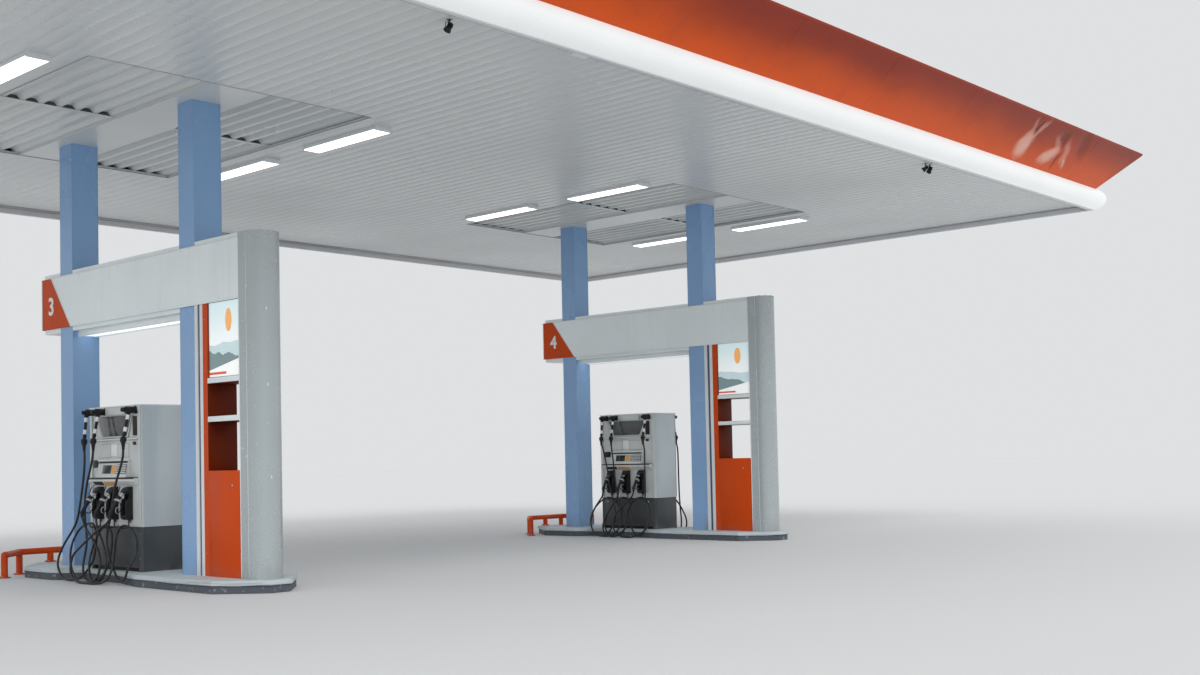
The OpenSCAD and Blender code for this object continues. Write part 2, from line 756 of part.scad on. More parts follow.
// Half-round shell with a closed top, open underneath where it stands on the kerb
module pylon() {
    color(silver)
    difference() {
        translate([0, 0, kerb_h]) linear_extrude(pylon_top - kerb_h) pylon_outline(face_half);
        translate([0, 0, kerb_h - pylon_t])
            intersection() {
                linear_extrude(pylon_top - kerb_h) pylon_outline(face_half - pylon_t);
                box([pylon_x + pylon_t, -face_half, 0],
                    [pylon_x + pylon_flat + face_half, face_half, pylon_top]);
            }
    }
}

// Orange stile and closed base, with the dark upright behind the strips
module cabinet() {
    color(orange_red)
    union() {
        box([stile_x, -cabinet_half, kerb_h], [pylon_x, cabinet_half, cabinet_low_top]);
        box([stile_x, -cabinet_half, kerb_h], [bay_x, cabinet_half, header_low]);
        box([column_outer, strip_d - cabinet_half, kerb_h], [stile_x, cabinet_half - strip_d, header_low]);
    }
}

module cabinet_frame() {
    color(lit) {
        both_faces()
            for (x = [column_outer, strip_2_x])
                box([x, cabinet_half - strip_d, kerb_h], [x + strip_w, cabinet_half, header_low]);
        for (z = [shelf_low_z, shelf_high_z])
            box([bay_x, -cabinet_half, z], [pylon_x, cabinet_half, z + shelf_t]);
    }
}

module poster_boxes() {
    color(lit)
    for (side = [-1, 1])
        at_island(side)
            box([bay_x + poster_gap, -poster_half, shelf_top],
                [pylon_x - poster_gap, poster_half, header_low]);
}

// Plan of the dispenser with rounded corners
module dispenser_plan() {
    union() {
        translate([disp_rear_x + corner_r, -disp_half]) square([disp_len - 2 * corner_r, 2 * disp_half]);
        translate([disp_rear_x, corner_r - disp_half]) square([disp_len, 2 * (disp_half - corner_r)]);
        both_faces()
            for (x = [disp_rear_x + corner_r, disp_front_x - corner_r])
                translate([x, disp_half - corner_r]) circle(r = corner_r, $fn = ROUND);
    }
}

module dispenser_base() {
    color(dark_grey)
    difference() {
        translate([0, 0, kerb_h]) linear_extrude(disp_base_top - kerb_h) dispenser_plan();
        both_faces()
            box([face_x, disp_half - plinth_d, kerb_h - plinth_h],
                [face_x + face_w, disp_half + plinth_d, kerb_h + plinth_h]);
    }
}

module dispenser_case() {
    color(silver)
    difference() {
        translate([0, 0, disp_base_top]) linear_extrude(disp_top - disp_base_top) dispenser_plan();
        both_faces()
            box([face_x, disp_half - face_in, disp_base_top - face_in],
                [face_x + face_w, disp_half + face_in, disp_top - head_h]);
    }
}

// A solid with one profile of (out, height) points along the dispenser's face
module face_bar(from_x, to_x, profile) {
    translate([from_x, 0, 0]) rotate([90, 0, 90]) linear_extrude(to_x - from_x) polygon(profile);
}

// Face plate with its window frame, sloped keypad and rounded ledge
module dispenser_face() {
    back = disp_half - face_in;
    sill = window_low - face_t;
    union() {
        box([face_x, back, disp_base_top], [face_x + face_w, face_out, disp_top - head_h]);
        translate([0, face_out + face_t, 0])
            rotate([90, 0, 0])
                linear_extrude(face_t)
                    polygon([[disp_rear_x + window_low_in, window_low],
                        [disp_front_x - window_low_in, window_low],
                        [disp_front_x - window_top_in, window_low + window_h],
                        [disp_rear_x + window_top_in, window_low + window_h]]);
        face_bar(face_x, face_x + face_w, [[face_out, sill - 2 * face_t], [disp_half + face_t, sill - face_t],
            [disp_half + face_t, sill], [face_out, sill]]);
        face_bar(disp_rear_x + keypad_in, disp_front_x - keypad_in, [[face_out, keypad_low],
            [disp_half + ledge_out, keypad_low], [disp_half + face_t, keypad_low + keypad_h],
            [face_out, keypad_low + keypad_h]]);
        face_bar(face_x, face_x + face_w, [[face_out, ledge_low], [disp_half + ledge_out / 2, ledge_low],
            [disp_half + ledge_out, ledge_low + ledge_h / 2], [disp_half + ledge_out, ledge_low + ledge_h],
            [face_out, ledge_low + ledge_h]]);
    }
}

module dispenser_panels() {
    color(pale)
    both_faces() dispenser_face();
}

// Swivel arm, breakaway and coupling of one hose
module hose_outlet(x) {
    union() {
        rod([x, disp_half, outlet_z], [x, outlet_out, outlet_z], outlet_r);
        translate([x, outlet_out, outlet_z]) sphere(r = KNUCKLE * outlet_r, $fn = FINE);
        rod([x, outlet_out, outlet_z], [x, coupling_out, coupling_z], breakaway_r);
        translate([x, coupling_out, coupling_z]) sphere(r = coupling_r, $fn = FINE);
        rod([x, coupling_out, coupling_z], [x, coupling_out, coupling_z - sleeve_len], hose_r + sleeve_t);
    }
}

module hose_outlets() {
    color(black)
    both_faces() for (x = outlets) hose_outlet(x);
}

// Boot on the dispenser's face, open in front, with the hook for the hose under it
module boot(x) {
    union() {
        difference() {
            box([x - boot_w / 2, face_out, boot_low], [x + boot_w / 2, boot_out, boot_top]);
            box([x - boot_w / 2 + boot_t, face_out + boot_t, boot_low + boot_t],
                [x + boot_w / 2 - boot_t, boot_out + boot_t, boot_top - boot_t]);
        }
        rod([x, disp_half + hook_r, boot_low + boot_t / 2], [x, disp_half + hook_r, hook_z], hook_r);
        rod([x, disp_half + hook_r, hook_z], [x, disp_half + hook_out, hook_z], hook_r);
        rod([x, disp_half + hook_out, hook_z], [x, disp_half + hook_out, hook_z + hook_tip_h], hook_r);
        for (y = [disp_half + hook_r, disp_half + hook_out])
            translate([x, y, hook_z]) sphere(r = KNUCKLE * hook_r, $fn = FINE);
    }
}

// Nozzle that leans in its boot: swivel, body, guard loop, splash guard and spout
module nozzle(x) {
    lean = [0, -sin(nozzle_lean), cos(nozzle_lean)];
    inlet = [x, inlet_y, inlet_z];
    neck = inlet + [0, 0, swivel_len];
    shoulder = neck + nozzle_len * lean;
    tip = [x, face_out + boot_t / 2, boot_top - boot_t - 3 * spout_r];
    union() {
        rod(inlet, neck, swivel_r);
        translate(neck) sphere(r = KNUCKLE * nozzle_r, $fn = FINE);
        rod(neck, shoulder, nozzle_r);
        rod(shoulder - hood_len * lean, shoulder, hood_r);
        translate(shoulder) sphere(r = KNUCKLE * nozzle_r, $fn = FINE);
        rod(shoulder, tip, spout_r);
        translate(neck + nozzle_len / 2 * lean - [0, guard_r, 0])
            rotate([0, 90, 0])
                rotate_extrude($fn = ROUND)
                    translate([guard_r - guard_bar, 0]) circle(r = guard_bar, $fn = FINE);
    }
}

module nozzles() {
    color(black)
    both_faces()
        for (x = boots) {
            boot(x);
            nozzle(x);
        }
}

// A smooth line through hand-placed points: the point at a share t of the stretch from point i on
function spline(points, i, t) =
    let (last = len(points) - 1, a = points[max(i - 1, 0)], b = points[i],
        c = points[min(i + 1, last)], d = points[min(i + 2, last)])
    0.5 * (2 * b + (c - a) * t + (2 * a - 5 * b + 4 * c - d) * t * t + (3 * b - a - 3 * c + d) * t * t * t);

function smooth(points) = concat([for (i = [0 : len(points) - 2], s = [0 : HOSE_STEPS - 1])
    spline(points, i, s / HOSE_STEPS)], [points[len(points) - 1]]);

function unit(v) = v / norm(v);

function ahead(line, i) = unit(line[min(i + 1, len(line) - 1)] - line[max(i - 1, 0)]);

// A tube along a route: its rings stand square to the route, measured from the +Y direction
module tube(points, r) {
    line = smooth(points);
    n = len(line);
    rings = [for (i = [0 : n - 1])
        let (t = i == 0 ? [0, 0, -1] : i == n - 1 ? [0, 0, 1] : ahead(line, i),
            u = unit([0, 1, 0] - t[1] * t), v = cross(t, u))
        for (k = [0 : HOSE_SIDES - 1])
            line[i] + r * (u * cos(360 * k / HOSE_SIDES) + v * sin(360 * k / HOSE_SIDES))];
    walls = [for (i = [0 : n - 2], k = [0 : HOSE_SIDES - 1])
        let (a = i * HOSE_SIDES + k, b = i * HOSE_SIDES + (k + 1) % HOSE_SIDES)
        [a, a + HOSE_SIDES, b + HOSE_SIDES, b]];
    caps = [[for (k = [0 : HOSE_SIDES - 1]) k],
        [for (k = [HOSE_SIDES - 1 : -1 : 0]) (n - 1) * HOSE_SIDES + k]];
    polyhedron(points = rings, faces = concat(walls, caps));
}

// One delivery hose; side is -1 on the dispenser's -Y face and 1 on its +Y face
module hose(route, side) {
    color(black)
    translate([disp_x, 0, 0]) tube([for (p = route) [p[0], side * p[1], p[2]]], hose_r);
}

soffit();
recess_sheets();
girders();
edge_channel();
roof_deck();
edge_trim();
light_bar();
fascia();
fascia_brackets();
ceiling_lights();
small_lamps();
number_panels();
header_lamps();
poster_boxes();
at_island(-1) kerb();  // kerb_3
at_island(1) kerb();  // kerb_4
at_island(-1) crash_rail();  // crash_rail_3
at_island(1) crash_rail();  // crash_rail_4
at_island(-1) column(-column_at);  // column_rear_3
at_island(1) column(-column_at);  // column_rear_4
at_island(-1) column(column_at);  // column_front_3
at_island(1) column(column_at);  // column_front_4
at_island(-1) header();  // header_3
at_island(1) header();  // header_4
at_island(-1) pylon();  // pylon_3
at_island(1) pylon();  // pylon_4
at_island(-1) cabinet();  // cabinet_3
at_island(1) cabinet();  // cabinet_4
at_island(-1) cabinet_frame();  // cabinet_frame_3
at_island(1) cabinet_frame();  // cabinet_frame_4
at_island(-1) dispenser_case();  // dispenser_case_3
at_island(1) dispenser_case();  // dispenser_case_4
at_island(-1) dispenser_base();  // dispenser_base_3
at_island(1) dispenser_base();  // dispenser_base_4
at_island(-1) dispenser_panels();  // dispenser_panels_3
at_island(1) dispenser_panels();  // dispenser_panels_4
at_island(-1) hose_outlets();  // hose_outlets_3
at_island(1) hose_outlets();  // hose_outlets_4
at_island(-1) nozzles();  // nozzles_3
at_island(1) nozzles();  // nozzles_4
at_island(-1) hose(REAR_3, -1);  // hose_3a
at_island(-1) hose(MIDDLE_3, -1);  // hose_3b
at_island(-1) hose(FRONT_3, -1);  // hose_3c
at_island(-1) hose(REAR_3, 1);  // hose_3d
at_island(-1) hose(MIDDLE_3, 1);  // hose_3e
at_island(-1) hose(FRONT_3, 1);  // hose_3f
at_island(1) hose(REAR_4, -1);  // hose_4a
at_island(1) hose(MIDDLE_4, -1);  // hose_4b
at_island(1) hose(FRONT_4, -1);  // hose_4c
at_island(1) hose(REAR_4, 1);  // hose_4d
at_island(1) hose(MIDDLE_4, 1);  // hose_4e
at_island(1) hose(FRONT_4, 1);  // hose_4f
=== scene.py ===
"""Looks of a filling station canopy with two pump islands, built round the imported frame."""

import logging
import math
from dataclasses import dataclass
from enum import Enum
from itertools import groupby, product
from typing import Iterable, Sequence

import bmesh
import bpy
from mathutils import Matrix, Vector


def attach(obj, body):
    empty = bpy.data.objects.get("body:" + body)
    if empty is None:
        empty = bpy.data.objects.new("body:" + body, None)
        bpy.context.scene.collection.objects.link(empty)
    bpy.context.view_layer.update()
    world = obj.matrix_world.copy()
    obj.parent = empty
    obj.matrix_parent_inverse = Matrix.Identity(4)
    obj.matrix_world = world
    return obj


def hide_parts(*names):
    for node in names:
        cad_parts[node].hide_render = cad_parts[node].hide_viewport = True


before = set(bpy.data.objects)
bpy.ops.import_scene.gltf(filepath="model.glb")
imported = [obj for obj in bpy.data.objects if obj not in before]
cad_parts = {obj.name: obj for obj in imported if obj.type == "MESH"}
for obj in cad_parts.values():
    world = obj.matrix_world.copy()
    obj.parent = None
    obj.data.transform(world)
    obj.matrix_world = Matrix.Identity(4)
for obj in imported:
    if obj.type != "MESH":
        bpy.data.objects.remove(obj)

LOG = logging.getLogger("canopy")
MM = 0.001
UP = Vector((0, 0, 1))
ISLANDS = {"3": -4.85, "4": 4.85}
SIDES = (-1, 1)
SMOOTH_UNDER = math.radians(32)
Point = Sequence[float]
Colour = tuple[float, float, float]


class Axis(Enum):
    """An axis of the shared frame, with its place among the coordinates."""

    X = 0
    Y = 1
    Z = 2


# Shader maths


class Nodes:
    """A node tree whose nodes all come from the method node()."""

    def __init__(self, tree: bpy.types.NodeTree) -> None:
        """Takes a tree and empties it."""
        self.tree = tree
        self.tree.nodes.clear()

    def node(self, kind: str, settings: dict | None = None, inputs: dict | None = None) -> bpy.types.Node:
        """Adds a node.

        Args:
            kind: its type.
            settings: its properties, set first.
            inputs: values or links of its sockets, by name or number.

        Returns:
            The new node.
        """
        made = self.tree.nodes.new(kind)
        for key, value in (settings or {}).items():
            setattr(made, key, value)
        for key, value in (inputs or {}).items():
            socket = made.inputs[key]
            value = value.socket if isinstance(value, Value) else value
            if isinstance(value, bpy.types.NodeSocket):
                self.tree.links.new(value, socket)
            else:
                socket.default_value = (*value[:3], 1.0) if socket.type == "RGBA" else value
        return made


class Value:
    """A number socket on which Python's operators add Math nodes."""

    def __init__(self, shader: "Shader", socket: bpy.types.NodeSocket) -> None:
        """Keeps the material's builder and an output socket that carries a number."""
        self.shader = shader
        self.socket = socket

    def _math(self, operation: str, *values: object) -> "Value":
        """Returns the result of one Math operation on these values."""
        made = self.shader.node("ShaderNodeMath", {"operation": operation}, dict(enumerate(values)))
        return Value(self.shader, made.outputs[0])

    def __add__(self, other: object) -> "Value":
        """Returns the sum."""
        return self._math("ADD", self, other)

    __radd__ = __add__

    def __sub__(self, other: object) -> "Value":
        """Returns the difference."""
        return self._math("SUBTRACT", self, other)

    def __rsub__(self, other: object) -> "Value":
        """Returns the difference from a plain number."""
        return self._math("SUBTRACT", other, self)

    def __mul__(self, other: object) -> "Value":
        """Returns the product."""
        return self._math("MULTIPLY", self, other)

    __rmul__ = __mul__

    def __truediv__(self, other: object) -> "Value":
        """Returns the quotient."""
        return self._math("DIVIDE", self, other)

    def __pow__(self, other: object) -> "Value":
        """Returns the power."""
        return self._math("POWER", self, other)

    def __abs__(self) -> "Value":
        """Returns the value without its sign."""
        return self._math("ABSOLUTE", self)

    def square(self) -> "Value":
        """Returns the value times itself, which a power can't give where it is negative."""
        return self * self

    def ramp(self, low: float, high: float) -> "Value":
        """Steps smoothly between two values.

        Args:
            low: the value that gives 0.
            high: the value that gives 1.

        Returns:
            The step, from 0 to 1.
        """
        ends = {0: self, 1: low, 2: high, 3: 0.0, 4: 1.0}
        made = self.shader.node("ShaderNodeMapRange", {"interpolation_type": "SMOOTHSTEP"}, ends)
        return Value(self.shader, made.outputs[0])


class Shader(Nodes):
    """Builds one node material."""

    def __init__(self, name: str) -> None:
        """Makes the material with its output and its Object coordinates.

        Args:
            name: the material's name.
        """
        self.material = bpy.data.materials.new(name)
        self.material.use_nodes = True
        super().__init__(self.material.node_tree)
        self.output = self.node("ShaderNodeOutputMaterial")
        self.place = self.node("ShaderNodeTexCoord").outputs["Object"]

    def axis(self, axis: Axis) -> Value:
        """Returns the Object coordinate on an axis, in metres."""
        parts = self.node("ShaderNodeSeparateXYZ", inputs={0: self.place})
        return Value(self, parts.outputs[axis.value])

    def noise(self, scale: float, stretch: Point = (1, 1, 1), detail: float = 3.0) -> Value:
        """Makes a soft random pattern.

        Args:
            scale: waves per metre.
            stretch: factors on the three coordinates, to draw the pattern out.
            detail: octaves.

        Returns:
            Values about 0.5.
        """
        moved = self.node("ShaderNodeMapping", {"vector_type": "POINT"},
                          {"Vector": self.place, "Scale": tuple(stretch)})
        made = self.node("ShaderNodeTexNoise", None,
                         {"Vector": moved.outputs[0], "Scale": scale, "Detail": detail})
        return Value(self, made.outputs[0])

    def cells(self, scale: float) -> Value:
        """Returns the distance in a pattern of so many cells per metre."""
        made = self.node("ShaderNodeTexVoronoi", {"feature": "F1"}, {"Vector": self.place, "Scale": scale})
        return Value(self, made.outputs["Distance"])

    def mix(self, factor: object, first: object, second: object) -> bpy.types.NodeSocket:
        """Returns the first colour mixed with the second one, whose share is the factor."""
        made = self.node("ShaderNodeMix", {"data_type": "RGBA"}, {0: factor, 6: first, 7: second})
        return made.outputs[2]

    def bump(self, height: Value, distance: float, strength: float = 1.0) -> bpy.types.NodeSocket:
        """Returns the normal bent by a height, of which 1 stands for the distance in metres."""
        sizes = {"Strength": strength, "Distance": distance, "Height": height}
        return self.node("ShaderNodeBump", None, sizes).outputs[0]

    def finish(self, **sockets: object) -> bpy.types.Material:
        """Adds the surface.

        Args:
            sockets: the shader's inputs by name, with _ for a space.

        Returns:
            The finished material.
        """
        named = {key.replace("_", " "): value for key, value in sockets.items()}
        body = self.node("ShaderNodeBsdfPrincipled", None, named)
        self.tree.links.new(body.outputs[0], self.output.inputs[0])
        return self.material


# Finishes, with colours as linear red, green and blue


@dataclass(frozen=True)
class Paint:
    """Sprayed or powder paint with cloudy wear, runs of dirt, shallow dents and pale flecks."""

    name: str
    colour: Colour
    worn: Colour
    roughness: float = 0.42
    spread: float = 0.16
    metallic: float = 0.0
    coat: float = 0.0
    specular: float = 0.5
    dents: float = 1.0
    clouds: float = 0.9
    runs: float = 0.35
    splash: float = 0.0
    flecks: float = 0.0
    grime: Colour = (0.20, 0.18, 0.16)
    fleck: Colour = (0.80, 0.82, 0.82)

    def build(self) -> bpy.types.Material:
        """Builds the node material.

        Returns:
            The material.
        """
        s = Shader(self.name)
        cloud = s.noise(self.clouds).ramp(0.30, 0.80)
        run = s.noise(9.0, (1.0, 1.0, 0.07), 4.0).ramp(0.52, 0.78)
        speck = s.noise(60.0, detail=2.0).ramp(0.60, 0.74)
        colour = s.mix(cloud * 0.55 + run * self.runs + speck * 0.08, self.colour, self.worn)
        rough = self.roughness + self.spread * (cloud - 0.5) + speck * 0.08
        if self.splash:
            low = (1 - s.axis(Axis.Z) / self.splash).ramp(0.0, 1.0) * s.noise(7.0, (1, 1, 0.4)).ramp(0.3, 0.7)
            colour = s.mix(low * 0.55, colour, self.grime)
            rough = rough + low * 0.2
        if self.flecks:
            chip = s.noise(26.0, (1.0, 1.0, 0.5), 2.0).ramp(0.735, 0.745)
            colour = s.mix(chip * self.flecks, colour, self.fleck)
        height = s.noise(420.0, detail=2.0) * 0.03 + s.noise(2.4, detail=2.0) * self.dents
        return s.finish(Base_Color=colour, Roughness=rough, Metallic=self.metallic,
                        Specular_IOR_Level=self.specular, Coat_Weight=self.coat, Coat_Roughness=0.18,
                        Normal=s.bump(height, MM))


@dataclass(frozen=True)
class Lit:
    """Opal plastic with lamps behind it."""

    name: str
    colour: Colour
    glow: Colour
    strength: float

    def build(self) -> bpy.types.Material:
        """Builds the node material.

        Returns:
            The material.
        """
        s = Shader(self.name)
        cloud = s.noise(1.3).ramp(0.3, 0.75)
        dust = s.noise(34.0, detail=4.0).ramp(0.55, 0.8)
        glow = s.mix(cloud * 0.35 + dust * 0.15, self.glow, tuple(0.90 * c for c in self.glow))
        colour = s.mix(dust * 0.5, self.colour, tuple(0.8 * c for c in self.colour))
        return s.finish(Base_Color=colour, Roughness=0.30 + 0.1 * cloud, Emission_Color=glow,
                        Emission_Strength=self.strength, Normal=s.bump(s.noise(300.0), 0.0002, 0.5))


@dataclass(frozen=True)
class Zinc:
    """Galvanised or brushed metal."""

    name: str
    colour: Colour
    dark: Colour
    roughness: float = 0.42
    spangle: float = 22.0

    def build(self) -> bpy.types.Material:
        """Builds the node material.

        Returns:
            The material.
        """
        s = Shader(self.name)
        flake = s.cells(self.spangle).ramp(0.05, 0.65)
        stain = s.noise(1.6, detail=5.0).ramp(0.45, 0.75)
        scratch = s.noise(90.0, detail=4.0)
        colour = s.mix(flake * 0.25 + stain * 0.4, self.colour, self.dark)
        rough = self.roughness + 0.12 * stain + 0.14 * (scratch - 0.5)
        return s.finish(Base_Color=colour, Roughness=rough, Metallic=1.0,
                        Normal=s.bump(scratch + flake * 0.2, 0.0003, 0.6))


@dataclass(frozen=True)
class Concrete:
    """Kerb concrete, pale on top and painted slate on its sides, with pores, tyre marks and chips."""

    name: str
    colour: Colour
    worn: Colour
    side: Colour
    edge: Point
    chip: Colour = (0.46, 0.47, 0.47)
    mark: Colour = (0.11, 0.12, 0.13)

    def build(self) -> bpy.types.Material:
        """Builds the node material.

        Returns:
            The material.
        """
        s = Shader(self.name)
        stain = s.noise(2.2, detail=6.0).ramp(0.42, 0.70)
        chip = s.noise(17.0, detail=5.0).ramp(0.60, 0.68)
        pore = s.cells(130.0).ramp(0.0, 0.28)
        scuff = s.noise(5.0, (0.25, 0.25, 6.0), 4.0).ramp(0.58, 0.74)
        colour = s.mix(stain * 0.6, self.colour, self.worn)
        colour = s.mix((s.axis(Axis.Z) + 0.01 * (stain - 0.5)).ramp(*self.edge), self.side, colour)
        colour = s.mix(chip * 0.35, colour, self.chip)
        colour = s.mix(scuff * 0.35, colour, self.mark)
        height = pore * 0.5 + s.noise(60.0, detail=4.0) * 0.7 - chip * 0.6
        return s.finish(Base_Color=colour, Roughness=0.62 + 0.2 * stain, Normal=s.bump(height, 0.0016, 0.8))


@dataclass(frozen=True)
class Plastic:
    """Moulded plastic or rubber with a fine grain and dust."""

    name: str
    colour: Colour
    dust: Colour
    roughness: float = 0.5
    grain: float = 500.0
    dusting: float = 0.35
    specular: float = 0.4

    def build(self) -> bpy.types.Material:
        """Builds the node material.

        Returns:
            The material.
        """
        s = Shader(self.name)
        cloud = s.noise(6.0, detail=5.0).ramp(0.45, 0.8)
        fine = s.noise(self.grain, detail=2.0)
        colour = s.mix(cloud * self.dusting + fine * 0.06, self.colour, self.dust)
        return s.finish(Base_Color=colour, Roughness=self.roughness + 0.18 * (cloud - 0.4),
                        Specular_IOR_Level=self.specular, Normal=s.bump(fine, 0.0003, 0.5))


@dataclass(frozen=True)
class Crease:
    """A soft fold in the fascia: its middle, its slope, its half sizes, and its tone, the strength of its
    painted highlight (above 0) or painted shade (below 0).
    """

    y: float
    z: float
    slope: float
    length: float
    width: float
    tone: float


@dataclass(frozen=True)
class Glow:
    """Orange fascia with painted light: brightest at its foot over the light bar, painted shade at its lip,
    and creases at one corner with painted highlights and shade.
    """

    name: str
    # foot is painted light from the light bar below; lip is painted shade at the fascia's top.
    foot: Colour
    lip: Colour
    run: Colour = (0.30, 0.05, 0.03)
    # pale is a painted highlight on a crease, dark is painted shade in one.
    pale: Colour = (0.76, 0.40, 0.31)
    dark: Colour = (0.13, 0.018, 0.008)
    foot_z: float = 6.03
    lip_z: float = 6.62
    face_x: float = 6.31
    face_z: float = 6.016
    lean: float = 0.614 / 0.586
    creases: tuple[Crease, ...] = (
        Crease(6.74, 6.22, 1.50, 0.24, 0.30, 1.0), Crease(6.88, 6.44, 0.93, 0.26, 0.09, 0.5),
        Crease(6.66, 6.42, 2.16, 0.22, 0.08, 0.4), Crease(6.79, 6.45, 1.45, 0.13, 0.09, -0.7),
        Crease(7.70, 6.21, 0.25, 0.36, 0.14, 0.95), Crease(7.70, 6.36, 2.76, 0.28, 0.07, 0.35),
        Crease(7.80, 6.44, 2.80, 0.26, 0.12, -0.6), Crease(8.345, 6.175, 2.34, 0.12, 0.035, 1.0),
        Crease(8.19, 6.28, 2.53, 0.40, 0.09, 0.45), Crease(8.04, 6.17, 2.0, 0.16, 0.06, -0.6),
        Crease(8.55, 6.45, 2.6, 0.42, 0.16, -0.4))

    def build(self) -> bpy.types.Material:
        """Builds the node material.

        Returns:
            The material.
        """
        s = Shader(self.name)
        z = s.axis(Axis.Z)
        rise = (z - self.foot_z) / (self.lip_z - self.foot_z)
        cloud = s.noise(0.8, (1, 1, 2.0), 5.0).ramp(0.3, 0.8)
        # Painted light: the bar below lights the foot, and the colour darkens to painted shade at the lip.
        colour = s.mix((rise + 0.25 * (cloud - 0.5)).ramp(0.02, 0.85), self.foot, self.lip)
        run = s.noise(4.0, (1.0, 1.0, 0.15), 4.0).ramp(0.56, 0.8)
        colour = s.mix(run * 0.25, colour, self.run)
        folds = s.noise(1.1, detail=2.0) * 5.0 + s.noise(420.0) * 0.1
        y_bent = s.axis(Axis.Y) + 0.16 * (s.noise(5.0, detail=2.0) - 0.5)
        z_bent = z + 0.10 * (s.noise(4.0, detail=2.0) - 0.5)
        outside = (s.axis(Axis.X) - self.face_x - (z - self.face_z) * self.lean).ramp(-0.03, -0.02)
        for fold in self.creases:
            level, steep = math.cos(fold.slope), math.sin(fold.slope)
            along = (y_bent - fold.y) * level + (z_bent - fold.z) * steep
            across = (z_bent - fold.z) * level - (y_bent - fold.y) * steep
            inside = 1 - (along / fold.length).square() - (across / fold.width).square()
            near = inside.ramp(0.0, 1.0) ** 1.7 * outside
            folds = folds + near * (18.0 * fold.tone)
            # Painted highlight on a crease with a positive tone, painted shade in one with a negative tone;
            # the bump is the fold itself.
            colour = s.mix(near * abs(fold.tone), colour, self.pale if fold.tone > 0 else self.dark)
        return s.finish(Base_Color=colour, Roughness=0.30 + 0.12 * cloud, Specular_IOR_Level=0.18,
                        Normal=s.bump(folds, MM))


@dataclass(frozen=True)
class Print:
    """A lit poster with a plain design of hills, a sun and a stripe."""

    name: str
    low: float = 2.417
    high: float = 3.29
    middle: float = 2.266
    half: float = 0.33
    horizon: Colour = (0.90, 0.92, 0.93)
    zenith: Colour = (0.66, 0.80, 0.82)
    sun: Colour = (0.86, 0.40, 0.12)
    far: Colour = (0.52, 0.66, 0.68)
    near: Colour = (0.16, 0.24, 0.25)
    ground: Colour = (0.90, 0.91, 0.90)
    stripe: Colour = (0.62, 0.08, 0.03)
    dust: Colour = (0.2, 0.2, 0.2)

    def build(self) -> bpy.types.Material:
        """Builds the node material.

        Returns:
            The material.
        """
        s = Shader(self.name)
        x = (s.axis(Axis.X) - self.middle) / self.half
        z = (s.axis(Axis.Z) - self.low) / (self.high - self.low)
        colour = s.mix(z.ramp(0.30, 1.0), self.horizon, self.zenith)
        reach = (x - 0.25).square() + (z - 0.74).square() * 1.7
        colour = s.mix((1 - reach).ramp(0.958, 0.962), colour, self.sun)
        ridges = ((0.44 + 0.20 * (s.noise(2.3) - 0.5), self.far),
                  (0.30 + 0.30 * (s.noise(3.1, (1, 1, 0)) - 0.5) - 0.06 * x, self.near),
                  (0.17 + 0.07 * x, self.ground))
        for ridge, tone in ridges:
            colour = s.mix((ridge - z).ramp(0.0, 0.010), colour, tone)
        band = (0.020 - abs(z - 0.055)).ramp(0.0, 0.006) * (0.1 - x).ramp(0.0, 0.02)
        colour = s.mix(band, colour, self.stripe)
        dim = s.mix(0.12 * s.noise(9.0), colour, self.dust)
        return s.finish(Base_Color=dim, Roughness=0.22, Emission_Color=colour, Emission_Strength=0.35)


